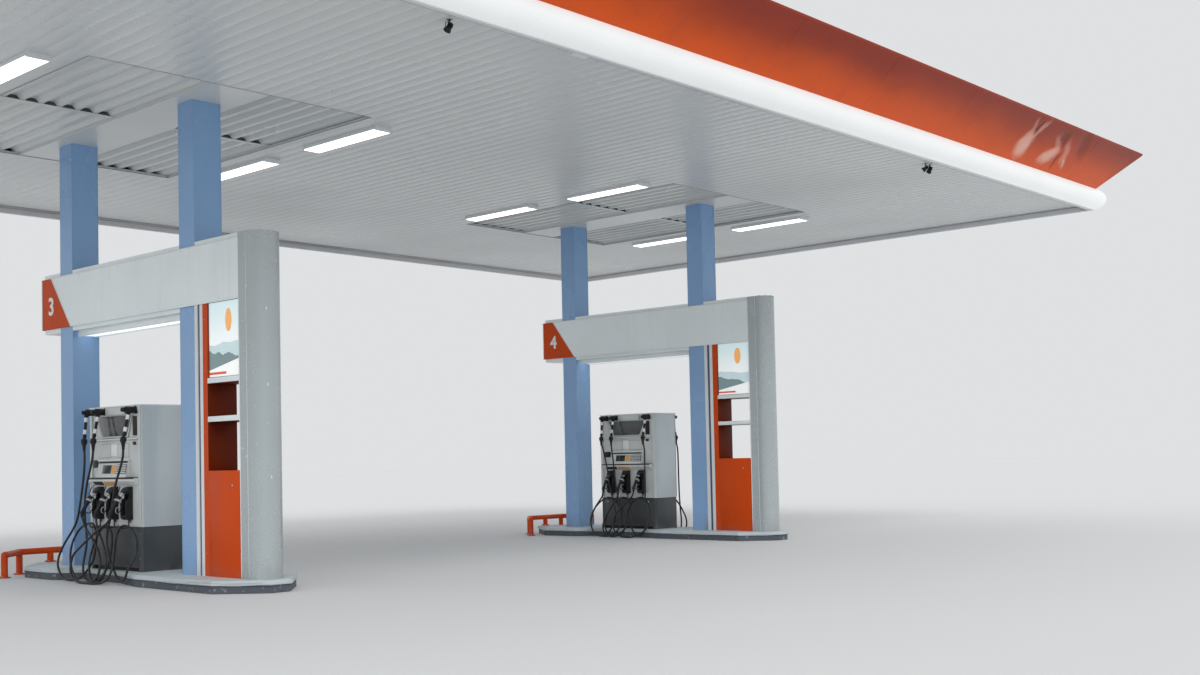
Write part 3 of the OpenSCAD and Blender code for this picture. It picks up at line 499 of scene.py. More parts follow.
class Finish(Enum):
    """Every finish of the canopy, with its record slot."""

    SOFFIT = ("ceiling_white", Paint(
        "soffit_white", (0.60, 0.625, 0.625), (0.50, 0.515, 0.51), 0.32, 0.12, dents=0.6, runs=0.12,
        clouds=0.25))
    TRIM = ("trim_grey", Paint("trim_grey", (0.60, 0.625, 0.63), (0.46, 0.475, 0.48), 0.38))
    # A darker grey than the trim: painted shade on the ceiling's edge angle beside the light bar; also used
    # for the recess frames and label outlines.
    EDGE = ("trim_grey", Paint("edge_grey", (0.34, 0.35, 0.355), (0.24, 0.25, 0.25)))
    ZINC = ("galvanised", Zinc("zinc_coat", (0.62, 0.64, 0.66), (0.40, 0.41, 0.43)))
    LIT = ("lit_white", Lit("lit_opal", (0.35, 0.355, 0.355), (0.97, 1.0, 1.0), 0.52))
    HEADER = ("lit_white", Lit("header_opal", (0.50, 0.50, 0.50), (0.97, 1.0, 1.0), 1.10))
    TUBE = ("lit_white", Lit("lamp_opal", (0.50, 0.50, 0.50), (1.0, 1.0, 0.98), 2.20))
    # The fascia's foot and lip colours are painted light and painted shade from the light bar; its creases
    # carry painted highlights and shade.
    FASCIA = ("orange_red", Glow("fascia_orange", (0.66, 0.085, 0.006), (0.28, 0.032, 0.013)))
    ORANGE = ("orange_red", Paint(
        "panel_orange", (0.60, 0.066, 0.005), (0.50, 0.055, 0.005), 0.38, 0.10, specular=0.1, splash=0.3))
    RAIL = ("orange_red", Paint(
        "rail_orange", (0.58, 0.062, 0.008), (0.42, 0.05, 0.012), 0.45, 0.2, specular=0.12, clouds=4.0,
        splash=0.2))
    SILVER = ("silver_paint", Paint(
        "panel_silver", (0.80, 0.86, 0.87), (0.71, 0.765, 0.775), 0.34, 0.12, metallic=0.05, coat=0.1,
        splash=0.5))
    SHELL = ("silver_paint", Paint(
        "shell_silver", (0.40, 0.445, 0.455), (0.37, 0.41, 0.42), 0.30, 0.12, metallic=0.3, coat=0.2,
        dents=0.5, runs=0.25, splash=0.4, flecks=1.0))
    CASE = ("silver_paint", Paint(
        "case_silver", (0.52, 0.57, 0.58), (0.44, 0.48, 0.49), 0.34, 0.12, metallic=0.2, splash=0.4))
    BLUE = ("steel_blue", Paint(
        "column_blue", (0.225, 0.395, 0.65), (0.195, 0.35, 0.585), 0.32, 0.14, coat=0.1, dents=0.6,
        splash=0.5))
    # The column blue darkened: painted shade in the recess between the cabinet's white strips.
    DEEP_BLUE = ("steel_blue", Paint("strip_blue", (0.045, 0.095, 0.17), (0.05, 0.08, 0.13), 0.40))
    WHITE = ("white_paint", Paint("strip_white", (0.74, 0.77, 0.79), (0.60, 0.62, 0.63), 0.36, splash=0.4))
    KERB = ("kerb_concrete", Concrete(
        "kerb_paint", (0.50, 0.56, 0.58), (0.40, 0.445, 0.46), (0.070, 0.083, 0.102), (0.082, 0.090)))
    BASE = ("dark_grey", Paint("base_grey", (0.036, 0.042, 0.047), (0.065, 0.072, 0.077), 0.40, splash=0.3))
    # Dark metal for the spot arms, hooks and poster frames; on the rib fillers and the strip gap it is
    # painted shade.
    DARK = ("dark_grey", Paint("dark_metal", (0.035, 0.037, 0.042), (0.09, 0.09, 0.09), 0.45))
    # Dark red instead of the cabinet's orange: painted shade inside the compartments.
    LINING = ("orange_red", Paint(
        "lining_red", (0.13, 0.016, 0.003), (0.09, 0.012, 0.003), 0.50, specular=0.1))
    PANEL = ("pale_plastic", Paint(
        "panel_grey", (0.60, 0.63, 0.62), (0.50, 0.52, 0.51), 0.42, 0.14, dents=0.3, clouds=3.0))
    CARD = ("white_paint", Plastic("white_card", (0.80, 0.82, 0.82), (0.66, 0.67, 0.66), 0.4, dusting=0.2))
    AMBER = ("orange_red", Plastic("amber_card", (0.70, 0.35, 0.10), (0.55, 0.30, 0.12), 0.4, dusting=0.3))
    BLACK = ("black_plastic", Plastic(
        "moulded_black", (0.014, 0.014, 0.016), (0.045, 0.045, 0.045), specular=0.25))
    SCREEN = ("black_plastic", Plastic(
        "dark_screen", (0.010, 0.010, 0.012), (0.03, 0.03, 0.03), 0.14, 3.0, 0.4))
    GREY = ("pale_plastic", Plastic("guard_grey", (0.42, 0.43, 0.44), (0.27, 0.27, 0.27), 0.40))
    GLASS = ("dark_grey", Plastic("smoked_window", (0.075, 0.08, 0.08), (0.13, 0.135, 0.13), 0.16, 3.0, 0.6))
    RUBBER = ("hose_rubber", Plastic("rubber_black", (0.014, 0.014, 0.015), (0.05, 0.05, 0.05), 0.46, 900.0))
    ALLOY = ("galvanised", Zinc("spout_alloy", (0.86, 0.87, 0.88), (0.70, 0.71, 0.72), 0.24, 60.0))
    STEEL = ("galvanised", Zinc("bolt_steel", (0.55, 0.55, 0.56), (0.30, 0.28, 0.26), 0.38, 60.0))
    PRINT = ("lit_white", Print("poster_print"))

    @property
    def slot(self) -> str:
        """The record's material slot."""
        return self.value[0]

    @property
    def material(self) -> bpy.types.Material:
        """The node material, built once."""
        look = self.value[1]
        return bpy.data.materials.get(look.name) or look.build()


# Meshes


@dataclass(frozen=True)
class Place:
    """Where a local shape goes: x and z stay, and y, the way out from a centre line, turns to a face."""

    y: float = 0.0
    face: int = 1

    def put(self, p: Vector) -> Vector:
        """Returns a local point in the part's frame."""
        return Vector((p.x, self.y + self.face * p.y, p.z))


HERE = (Place(),)
BOTH_ISLANDS = tuple(Place(y) for y in ISLANDS.values())
FOUR_FACES = tuple(Place(y, face) for y in ISLANDS.values() for face in SIDES)


def ring(centre: Vector, side: Vector, up: Vector, radius: float, sides: int) -> list[Vector]:
    """Returns the points of a circle in the plane of side and up."""
    angles = (math.tau * k / sides for k in range(sides))
    return [centre + (side * math.cos(a) + up * math.sin(a)) * radius for a in angles]


def skin(rings: int, sides: int, closed: bool = False) -> list[list[int]]:
    """Joins rings of points.

    Args:
        rings: how many rings there are.
        sides: points on each.
        closed: whether the last ring joins the first, so that there are no caps.

    Returns:
        The faces, as numbers of points.
    """
    def at(i: int, k: int) -> int:
        """Returns the number of a point."""
        return (i % rings) * sides + k % sides

    steps = rings if closed else rings - 1
    faces = [[at(i, k), at(i, k + 1), at(i + 1, k + 1), at(i + 1, k)]
             for i in range(steps) for k in range(sides)]
    caps = [list(range(sides))[::-1], list(range((rings - 1) * sides, rings * sides))]
    return faces if closed else faces + caps


class Solid:
    """Collects closed shells of one finish, repeats them at the places given and makes one riding object."""

    def __init__(self, name: str, finish: Finish, places: Sequence[Place] = HERE) -> None:
        """Starts an empty solid.

        Args:
            name: the object's name.
            finish: its finish.
            places: where the shape stands.
        """
        self.name = name
        self.finish = finish
        self.places = places
        self.points: list[Vector] = []
        self.faces: list[list[int]] = []

    def shell(self, points: Iterable[Point], faces: Iterable[Sequence[int]]) -> "Solid":
        """Adds a closed shell.

        Args:
            points: its corners.
            faces: its faces, as numbers of corners.

        Returns:
            This solid.
        """
        start = len(self.points)
        self.points += [Vector(p) for p in points]
        self.faces += [[start + i for i in f] for f in faces]
        return self

    def _bevelled(self, shape: bmesh.types.BMesh, bevel: float) -> "Solid":
        """Adds a mesh after rounding its edges.

        Args:
            shape: a closed shell, which is freed.
            bevel: width of the rounded edges.

        Returns:
            This solid.
        """
        if bevel:
            bmesh.ops.bevel(shape, geom=shape.edges[:], offset=bevel, segments=2, profile=0.5,
                            affect="EDGES", clamp_overlap=True)
        shape.verts.index_update()
        self.shell([v.co for v in shape.verts], [[v.index for v in f.verts] for f in shape.faces])
        shape.free()
        return self

    def box(self, one: Point, other: Point, bevel: float = 0.0) -> "Solid":
        """Adds a box.

        Args:
            one: a corner.
            other: the opposite corner.
            bevel: width of the rounded edges.

        Returns:
            This solid.
        """
        low, high = Vector(map(min, one, other)), Vector(map(max, one, other))
        shape = bmesh.new()
        bmesh.ops.create_cube(shape, size=1.0)
        for v in shape.verts:
            v.co = Vector((low[i] + (v.co[i] + 0.5) * (high[i] - low[i]) for i in range(3)))
        return self._bevelled(shape, bevel)

    def boxes(self, corners: Iterable[tuple[Point, Point]], bevel: float = 0.0) -> "Solid":
        """Adds a box for each pair of opposite corners.

        Args:
            corners: the pairs.
            bevel: width of the rounded edges.

        Returns:
            This solid.
        """
        for one, other in corners:
            self.box(one, other, bevel)
        return self

    def prism(self, outline: Sequence[Point], axis: Axis, one: float, other: float,
              bevel: float = 0.0) -> "Solid":
        """Adds an outline drawn out along an axis.

        Args:
            outline: a closed outline in the plane square to the axis, its coordinates in x, y, z order.
            axis: the axis.
            one: an end on that axis.
            other: the other end.
            bevel: width of the rounded edges.

        Returns:
            This solid.
        """
        shape = bmesh.new()
        rings = []
        for at in sorted((one, other)):
            points = [list(p) for p in outline]
            for p in points:
                p.insert(axis.value, at)
            rings.append([shape.verts.new(p) for p in points])
        near, far = rings
        shape.faces.new(near)
        shape.faces.new(far[::-1])
        for i in range(len(outline)):
            k = (i + 1) % len(outline)
            shape.faces.new((near[i], far[i], far[k], near[k]))
        return self._bevelled(shape, bevel)

    def lathe(self, start: Point, end: Point, profile: Sequence[Point], sides: int = 24) -> "Solid":
        """Adds a turned shape.

        Args:
            start: where the axis starts.
            end: a point towards which it runs.
            profile: pairs of distance along the axis and radius.
            sides: faces round it.

        Returns:
            This solid.
        """
        start, aim = Vector(start), (Vector(end) - Vector(start)).normalized()
        side = aim.orthogonal().normalized()
        up = aim.cross(side)
        points = [p for t, r in profile for p in ring(start + aim * t, side, up, r, sides)]
        return self.shell(points, skin(len(profile), sides))

    def tube(self, line: Sequence[Point], radius: float, sides: int = 12, closed: bool = False) -> "Solid":
        """Adds a tube along a line.

        Args:
            line: the points that the tube follows.
            radius: its radius.
            sides: faces round it.
            closed: whether it is a loop.

        Returns:
            This solid.
        """
        line = [Vector(p) for p in line]
        n = len(line)
        side = None
        points = []
        for i, p in enumerate(line):
            ahead = line[(i + 1) % n] if closed or i < n - 1 else p
            back = line[i - 1] if closed or i else p
            aim = (ahead - back).normalized()
            side = (aim.orthogonal() if side is None else side - aim * side.dot(aim)).normalized()
            points += ring(p, side, aim.cross(side), radius, sides)
        return self.shell(points, skin(n, sides, closed))

    def mesh(self) -> bpy.types.Object:
        """Makes the object, at the origin, with its place in its mesh and its normals outward.

        Returns:
            The object.
        """
        shape = bmesh.new()
        for place in self.places:
            corners = [shape.verts.new(place.put(p)) for p in self.points]
            for f in self.faces:
                shape.faces.new([corners[i] for i in (f if place.face > 0 else f[::-1])])
        bmesh.ops.recalc_face_normals(shape, faces=shape.faces[:])
        data = bpy.data.meshes.new(self.name)
        shape.to_mesh(data)
        shape.free()
        return dressed(data, self.name, self.finish)

    def ship(self, *nodes: str) -> bpy.types.Object:
        """Returns the riding piece, which stands for these CAD nodes."""
        return ship(self.mesh(), self.finish, *nodes)


def linked(name: str, data: bpy.types.ID) -> bpy.types.Object:
    """Puts a new object in the scene.

    Args:
        name: its name.
        data: its mesh, curve, camera or light.

    Returns:
        The object.
    """
    made = bpy.data.objects.new(name, data)
    bpy.context.scene.collection.objects.link(made)
    return made


def dressed(data: bpy.types.Mesh, name: str, finish: Finish) -> bpy.types.Object:
    """Smooths a mesh and gives it its material.

    Args:
        data: the mesh.
        name: the object's name.
        finish: its finish.

    Returns:
        A linked object.
    """
    data.polygons.foreach_set("use_smooth", [True] * len(data.polygons))
    data.set_sharp_from_angle(angle=SMOOTH_UNDER)
    data.materials.clear()
    data.materials.append(finish.material)
    return linked(name, data)


def ship(piece: bpy.types.Object, finish: Finish, *nodes: str) -> bpy.types.Object:
    """Lets a finished piece at the origin ride, and reports it.

    Args:
        piece: the piece.
        finish: the finish whose slot it takes.
        nodes: CAD nodes that it stands for.

    Returns:
        The piece.
    """
    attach(piece, "root")
    if nodes:
        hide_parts(*nodes)
    LOG.info("%s in %s", piece.name, finish.slot)
    return piece


# Geometry nodes


class Growth(Nodes):
    """A geometry node tree that is run once on an object and then baked into its mesh."""

    def __init__(self, name: str, inputs: Sequence[tuple[str, str]]) -> None:
        """Makes the tree with its sockets.

        Args:
            name: the tree's name.
            inputs: names and socket types of its sizes.
        """
        super().__init__(bpy.data.node_groups.new(name, "GeometryNodeTree"))
        face = self.tree.interface
        face.new_socket("Geometry", in_out="INPUT", socket_type="NodeSocketGeometry")
        face.new_socket("Geometry", in_out="OUTPUT", socket_type="NodeSocketGeometry")
        self.keys = {label: face.new_socket(label, in_out="INPUT", socket_type=kind).identifier
                     for label, kind in (*inputs, ("Material", "NodeSocketMaterial"))}
        self.given = self.node("NodeGroupInput").outputs
        self.outside = self.node("NodeGroupOutput")

    def close(self, copies: bpy.types.NodeSocket) -> None:
        """Ends the tree with the copies made real and painted.

        Args:
            copies: the instances that the tree makes.
        """
        real = self.node("GeometryNodeRealizeInstances", None, {0: copies})
        painted = self.node("GeometryNodeSetMaterial", None,
                            {"Geometry": real.outputs[0], "Material": self.given["Material"]})
        self.tree.links.new(painted.outputs[0], self.outside.inputs[0])

    def run(self, source: bpy.types.Object, name: str, finish: Finish, **sizes: object) -> bpy.types.Object:
        """Runs the tree and ships the result.

        Args:
            source: the object that the tree repeats or reads, which is removed.
            name: the name of the result.
            finish: its finish.
            sizes: the tree's inputs by name.

        Returns:
            The riding piece, a plain mesh object.
        """
        step = source.modifiers.new("growth", "NODES")
        step.node_group = self.tree
        for key, value in {**sizes, "Material": finish.material}.items():
            step[self.keys[key]] = value
        graph = bpy.context.evaluated_depsgraph_get()
        data = bpy.data.meshes.new_from_object(source.evaluated_get(graph))
        old = source.data
        bpy.data.objects.remove(source)
        bpy.data.meshes.remove(old)
        data.name = name
        return ship(dressed(data, name, finish), finish)


class Row(Growth):
    """Repeats a solid along a straight line, with a little slack."""

    def __init__(self) -> None:
        """Builds the tree."""
        super().__init__("row", [("Count", "NodeSocketInt"), ("Step", "NodeSocketVector"),
                                 ("Seed", "NodeSocketInt"), ("Slack", "NodeSocketFloat")])
        line = self.node("GeometryNodeMeshLine", {"mode": "OFFSET"},
                         {"Count": self.given["Count"], "Offset": self.given["Step"]})
        slack = self.node("ShaderNodeVectorMath", {"operation": "SCALE"},
                          {0: (1.0, 1.0, 0.3), 3: self.given["Slack"]})
        back = self.node("ShaderNodeVectorMath", {"operation": "SCALE"}, {0: slack.outputs[0], 3: -1.0})
        wobble = self.node("FunctionNodeRandomValue", {"data_type": "FLOAT_VECTOR"},
                           {0: back.outputs[0], 1: slack.outputs[0], "Seed": self.given["Seed"]})
        moved = self.node("GeometryNodeSetPosition", None,
                          {"Geometry": line.outputs[0], "Offset": wobble.outputs[0]})
        copies = self.node("GeometryNodeInstanceOnPoints", None,
                           {"Points": moved.outputs[0], "Instance": self.given["Geometry"]})
        self.close(copies.outputs[0])

    def lay(self, solid: Solid, count: int, step: Point, seed: int = 1,
            slack: float = 0.0) -> bpy.types.Object:
        """Returns a riding row of copies of a solid, a step apart and off by up to the slack."""
        return self.run(solid.mesh(), solid.name, solid.finish, Count=count, Step=step, Seed=seed,
                        Slack=slack)


class Heads(Growth):
    """Sets a screw or bolt head on each point, along the point's aim and turned at random."""

    def __init__(self) -> None:
        """Builds the tree."""
        super().__init__("heads", [("Head", "NodeSocketObject"), ("Seed", "NodeSocketInt")])
        head = self.node("GeometryNodeObjectInfo", None, {0: self.given["Head"]})
        aim = self.node("GeometryNodeInputNamedAttribute", {"data_type": "FLOAT_VECTOR"}, {0: "aim"})
        turned = self.node("FunctionNodeAlignRotationToVector", {"axis": "Z"}, {"Vector": aim.outputs[0]})
        angle = self.node("FunctionNodeRandomValue", {"data_type": "FLOAT"},
                          {2: 0.0, 3: math.tau, "Seed": self.given["Seed"]})
        spin = self.node("FunctionNodeAxisAngleToRotation", None,
                         {"Axis": tuple(UP), "Angle": angle.outputs[1]})
        both = self.node("FunctionNodeRotateRotation", {"rotation_space": "LOCAL"},
                         {0: turned.outputs[0], 1: spin.outputs[0]})
        copies = self.node("GeometryNodeInstanceOnPoints", None,
                           {"Points": self.given["Geometry"], "Instance": head.outputs["Geometry"],
                            "Rotation": both.outputs[0]})
        self.close(copies.outputs[0])


@dataclass
class Fixings:
    """Screw and bolt heads, gathered by kind and set by the heads tree."""

    name: str
    radius: float
    height: float
    finish: Finish = Finish.STEEL
    sides: int = 6
    seed: int = 7

    def __post_init__(self) -> None:
        """Starts with no heads."""
        self.places: list[tuple[Vector, Vector]] = []

    def add(self, points: Iterable[Point], aim: Point, places: Sequence[Place] = HERE) -> None:
        """Adds heads.

        Args:
            points: where they sit.
            aim: the direction in which they point.
            places: where the group is repeated.
        """
        points = [Vector(p) for p in points]
        for place in places:
            turned = Vector((aim[0], aim[1] * place.face, aim[2]))
            self.places += [(place.put(p), turned) for p in points]

    def ship(self, tree: Heads) -> None:
        """Sets all heads in one piece.

        Args:
            tree: the heads tree.
        """
        profile = [(-0.002, self.radius), (self.height * 0.7, self.radius), (self.height, self.radius * 0.72)]
        head = Solid(f"{self.name}_head", self.finish).lathe((0, 0, 0), UP, profile, self.sides).mesh()
        data = bpy.data.meshes.new(f"{self.name}_points")
        data.from_pydata([p for p, _ in self.places], [], [])
        aims = data.attributes.new("aim", "FLOAT_VECTOR", "POINT")
        aims.data.foreach_set("vector", [c for _, aim in self.places for c in aim])
        tree.run(linked(data.name, data), self.name, self.finish, Head=head, Seed=self.seed)
        bpy.data.objects.remove(head)


# Camera, light and floor


@dataclass
class Studio:
    """The photograph's camera, a plain floor and soft light; angles are in degrees, the image in pixels."""

    at: Point = (15.63, -13.44, 1.40)
    yaw: float = 132.16
    pitch: float = 1.97
    roll: float = -1.22
    focal: float = 1339.2
    width: float = 1200.0
    height: float = 675.0
    centre_y: float = 412.1
    sensor: float = 36.0
    sky: Colour = (0.97, 0.985, 1.0)
    backdrop: Colour = (0.74, 0.75, 0.76)
    sun: float = 1.3
    sun_angle: float = 30.0
    sun_turn: Point = (52.0, 0.0, 62.0)
    floor_half: float = 160.0
    floor_z: float = -0.002
    floor_pale: Colour = (0.60, 0.605, 0.61)
    floor_dark: Colour = (0.54, 0.545, 0.55)

    def camera(self) -> None:
        """Sets the camera where the photograph was taken."""
        yaw, pitch, roll = (math.radians(a) for a in (self.yaw, self.pitch, self.roll))
        flat = Vector((math.cos(yaw), math.sin(yaw), 0.0))
        right = flat.cross(UP)
        ahead = flat * math.cos(pitch) + UP * math.sin(pitch)
        tall = UP * math.cos(pitch) - flat * math.sin(pitch)
        across = right * math.cos(roll) + tall * math.sin(roll)
        above = tall * math.cos(roll) - right * math.sin(roll)
        data = bpy.data.cameras.new("camera")
        data.sensor_width = self.sensor
        data.lens = self.sensor * self.focal / self.width
        data.shift_y = (self.centre_y - self.height / 2) / self.width
        data.clip_end = 500.0
        made = linked("camera", data)
        made.matrix_world = Matrix((across, above, -ahead)).transposed().to_4x4()
        made.matrix_world.translation = Vector(self.at)
        bpy.context.scene.camera = made

    def light(self) -> None:
        """Sets a soft sky that looks pale to the camera and in gloss, one broad sun and the view settings."""
        scene = bpy.context.scene
        scene.view_settings.view_transform = "Standard"
        scene.world = bpy.data.worlds.new("studio")
        scene.world.use_nodes = True
        tree = Nodes(scene.world.node_tree)
        rays = tree.node("ShaderNodeLightPath").outputs
        seen = tree.node("ShaderNodeMath", {"operation": "MAXIMUM"},
                         {0: rays["Is Camera Ray"], 1: rays["Is Transmission Ray"]})
        shiny = tree.node("ShaderNodeMath", {"operation": "MAXIMUM"},
                          {0: seen.outputs[0], 1: rays["Is Glossy Ray"]})
        sky, back = (tree.node("ShaderNodeBackground", None, {0: colour, 1: 1.0})
                     for colour in (self.sky, self.backdrop))
        blend = tree.node("ShaderNodeMixShader", None,
                          {0: shiny.outputs[0], 1: sky.outputs[0], 2: back.outputs[0]})
        tree.node("ShaderNodeOutputWorld", None, {0: blend.outputs[0]})
        sun = bpy.data.lights.new("sun", "SUN")
        sun.energy, sun.angle = self.sun, math.radians(self.sun_angle)
        linked("sun", sun).rotation_euler = [math.radians(a) for a in self.sun_turn]

    def floor(self) -> None:
        """Lays the plain floor."""
        s = Shader("studio_floor")
        s.finish(Base_Color=s.mix(s.noise(0.35) * 0.2, self.floor_pale, self.floor_dark), Roughness=0.9)
        data = bpy.data.meshes.new("floor")
        h, z = self.floor_half, self.floor_z
        data.from_pydata([(-h, -h, z), (h, -h, z), (h, h, z), (-h, h, z)], [], [(0, 1, 2, 3)])
        data.materials.append(s.material)
        linked("floor", data)

    def build(self) -> None:
        """Makes the camera, the light and the floor."""
        self.camera()
        self.light()
        self.floor()


# Hoses

# Places along the face from the dispenser's middle, out from its centre line, and heights, in mm
REAR_3 = [(-470, 460, 1680), (-460, 460, 1540), (-470, 463, 1380), (-500, 465, 1220), (-540, 468, 1060),
    (-585, 471, 900), (-645, 476, 750), (-740, 486, 630), (-830, 505, 530), (-900, 530, 430),
    (-945, 560, 315), (-930, 590, 205), (-855, 605, 115), (-745, 610, 40), (-610, 600, 18),
    (-475, 565, 30), (-385, 505, 100), (-300, 440, 260), (-295, 410, 420), (-295, 396, 570),
    (-375, 392, 701), (-490, 400, 714), (-600, 420, 680), (-680, 445, 610), (-725, 480, 510),
    (-715, 520, 400), (-645, 565, 280), (-535, 605, 170), (-375, 640, 75), (-235, 660, 22),
    (-80, 665, 18), (55, 662, 25), (175, 650, 65), (230, 635, 160), (215, 612, 280), (135, 590, 380),
    (10, 570, 490), (-140, 560, 585), (-280, 549, 685), (-365, 547, 810)]
MIDDLE_3 = [(-235, 460, 1680), (-255, 460, 1540), (-310, 463, 1400), (-375, 465, 1260), (-425, 467, 1110),
    (-445, 470, 960), (-438, 474, 820), (-405, 480, 690), (-370, 487, 570), (-355, 498, 450),
    (-355, 520, 330), (-350, 545, 210), (-300, 565, 105), (-205, 575, 40), (-80, 570, 18), (40, 545, 50),
    (115, 500, 140), (140, 460, 260), (138, 434, 380), (130, 417, 490), (108, 405, 590), (45, 402, 674),
    (-45, 410, 691), (-130, 435, 630), (-180, 470, 510), (-192, 515, 380), (-165, 560, 240),
    (-100, 590, 130), (-20, 605, 50), (90, 612, 18), (210, 605, 50), (290, 592, 150), (295, 582, 290),
    (240, 572, 420), (160, 562, 530), (75, 553, 625), (10, 548, 710), (-10, 547, 810)]
FRONT_3 = [(510, 460, 1680), (500, 461, 1540), (430, 463, 1390), (345, 466, 1240), (285, 468, 1090),
    (255, 471, 930), (210, 476, 790), (160, 483, 660), (150, 491, 530), (190, 498, 400), (270, 505, 265),
    (385, 515, 140), (495, 535, 75), (640, 555, 52), (740, 572, 100), (800, 570, 200), (855, 515, 330),
    (820, 465, 460), (745, 430, 560), (630, 408, 640), (510, 398, 685), (405, 393, 702), (315, 400, 680),
    (265, 420, 590), (285, 452, 500), (380, 520, 350), (460, 595, 190), (425, 625, 85), (330, 650, 30),
    (190, 685, 16), (40, 700, 16), (-110, 702, 16), (-260, 700, 45), (-380, 688, 115), (-435, 665, 215),
    (-405, 645, 335), (-290, 630, 420), (-100, 615, 530), (120, 590, 655), (280, 560, 735),
    (345, 547, 810)]
REAR_4 = [(-470, 460, 1680), (-410, 461, 1500), (-365, 463, 1330), (-325, 466, 1160), (-300, 469, 990),
    (-260, 472, 830), (-215, 476, 690), (-170, 480, 550), (-140, 484, 420), (-160, 484, 300),
    (-215, 486, 190), (-295, 490, 95), (-405, 495, 32), (-535, 500, 22), (-635, 500, 65),
    (-710, 495, 145), (-755, 476, 260), (-755, 450, 370), (-715, 428, 470), (-640, 412, 560),
    (-545, 402, 635), (-450, 396, 680), (-375, 393, 694), (-275, 398, 670), (-170, 408, 600),
    (-55, 432, 460), (-10, 480, 300), (-10, 540, 170), (-90, 582, 70), (-200, 602, 25), (-325, 612, 18),
    (-450, 612, 30), (-560, 602, 85), (-640, 582, 180), (-650, 566, 310), (-615, 560, 430),
    (-545, 556, 542), (-470, 552, 630), (-395, 548, 720), (-365, 547, 810)]
MIDDLE_4 = [(-235, 460, 1680), (-220, 461, 1540), (-195, 463, 1380), (-170, 466, 1200), (-145, 470, 1020),
    (-120, 474, 850), (-80, 478, 700), (-10, 484, 560), (60, 490, 440), (110, 500, 320), (110, 515, 200),
    (60, 532, 90), (-40, 543, 30), (-160, 543, 18), (-290, 535, 60), (-370, 508, 160), (-395, 475, 280),
    (-365, 455, 400), (-290, 447, 520), (-190, 442, 625), (-90, 425, 678), (5, 408, 695),
    (105, 425, 652), (180, 455, 560), (230, 490, 430), (230, 540, 300), (190, 590, 190), (110, 625, 90),
    (0, 640, 30), (-130, 645, 20), (-260, 640, 65), (-325, 625, 170), (-305, 605, 300), (-240, 588, 420),
    (-155, 570, 540), (-80, 556, 640), (-28, 549, 725), (-10, 547, 810)]
FRONT_4 = [(510, 460, 1680), (540, 461, 1540), (545, 463, 1387), (545, 465, 1220), (545, 467, 1050),
    (545, 470, 880), (545, 474, 730), (550, 478, 590), (555, 484, 450), (565, 490, 310), (555, 500, 190),
    (525, 515, 95), (445, 525, 45), (345, 525, 60), (260, 505, 140), (165, 470, 255), (110, 440, 370),
    (105, 415, 480), (160, 402, 580), (265, 396, 660), (390, 392, 699), (495, 400, 650), (570, 412, 570),
    (635, 440, 450), (670, 480, 330), (655, 530, 220), (600, 580, 130), (505, 625, 60), (405, 665, 22),
    (275, 690, 16), (160, 700, 28), (45, 690, 85), (-35, 672, 180), (-45, 655, 290), (-5, 642, 395),
    (85, 625, 495), (180, 606, 580), (255, 585, 650), (318, 562, 720), (345, 547, 810)]


@dataclass
class Hoses:
    """The twelve delivery hoses: each hangs from its coupling, loops over its hook and ends in its nozzle."""

    middle: float = -0.03
    radius: float = 0.014
    routes: tuple[tuple[list[Point], ...], ...] = ((REAR_3, MIDDLE_3, FRONT_3), (REAR_4, MIDDLE_4, FRONT_4))

    def curve(self, name: str, points: Sequence[Vector]) -> tuple[bpy.types.Object, float]:
        """Draws a hose on one smooth curve.

        Args:
            name: the hose's name.
            points: its route.

        Returns:
            The curve object and its length.
        """
        data = bpy.data.curves.new(name, "CURVE")
        data.dimensions = "3D"
        data.resolution_u = 5
        data.bevel_depth = self.radius
        data.bevel_resolution = 3
        data.use_fill_caps = True
        line = data.splines.new("BEZIER")
        last = len(points) - 1
        line.bezier_points.add(last)
        for i, p in enumerate(points):
            pull = (points[min(i + 1, last)] - points[max(i - 1, 0)]) / 6
            knot = line.bezier_points[i]
            knot.co, knot.handle_left, knot.handle_right = p, p - pull, p + pull
        data.materials.append(Finish.RUBBER.material)
        return linked(name, data), line.calc_length()

    def build(self) -> None:
        """Makes and ships every hose: a, b and c on the face towards lower y, d, e and f on the other."""
        for (number, y), routes in zip(ISLANDS.items(), self.routes):
            for letter, (face, route) in zip("abcdef", product(SIDES, routes)):
                points = [Vector((self.middle + along * MM, y + face * out * MM, height * MM))
                          for along, out, height in route]
                hose, length = self.curve(f"delivery_hose_{number}{letter}", points)
                ship(hose, Finish.RUBBER, f"hose_{number}{letter}")


# Canopy


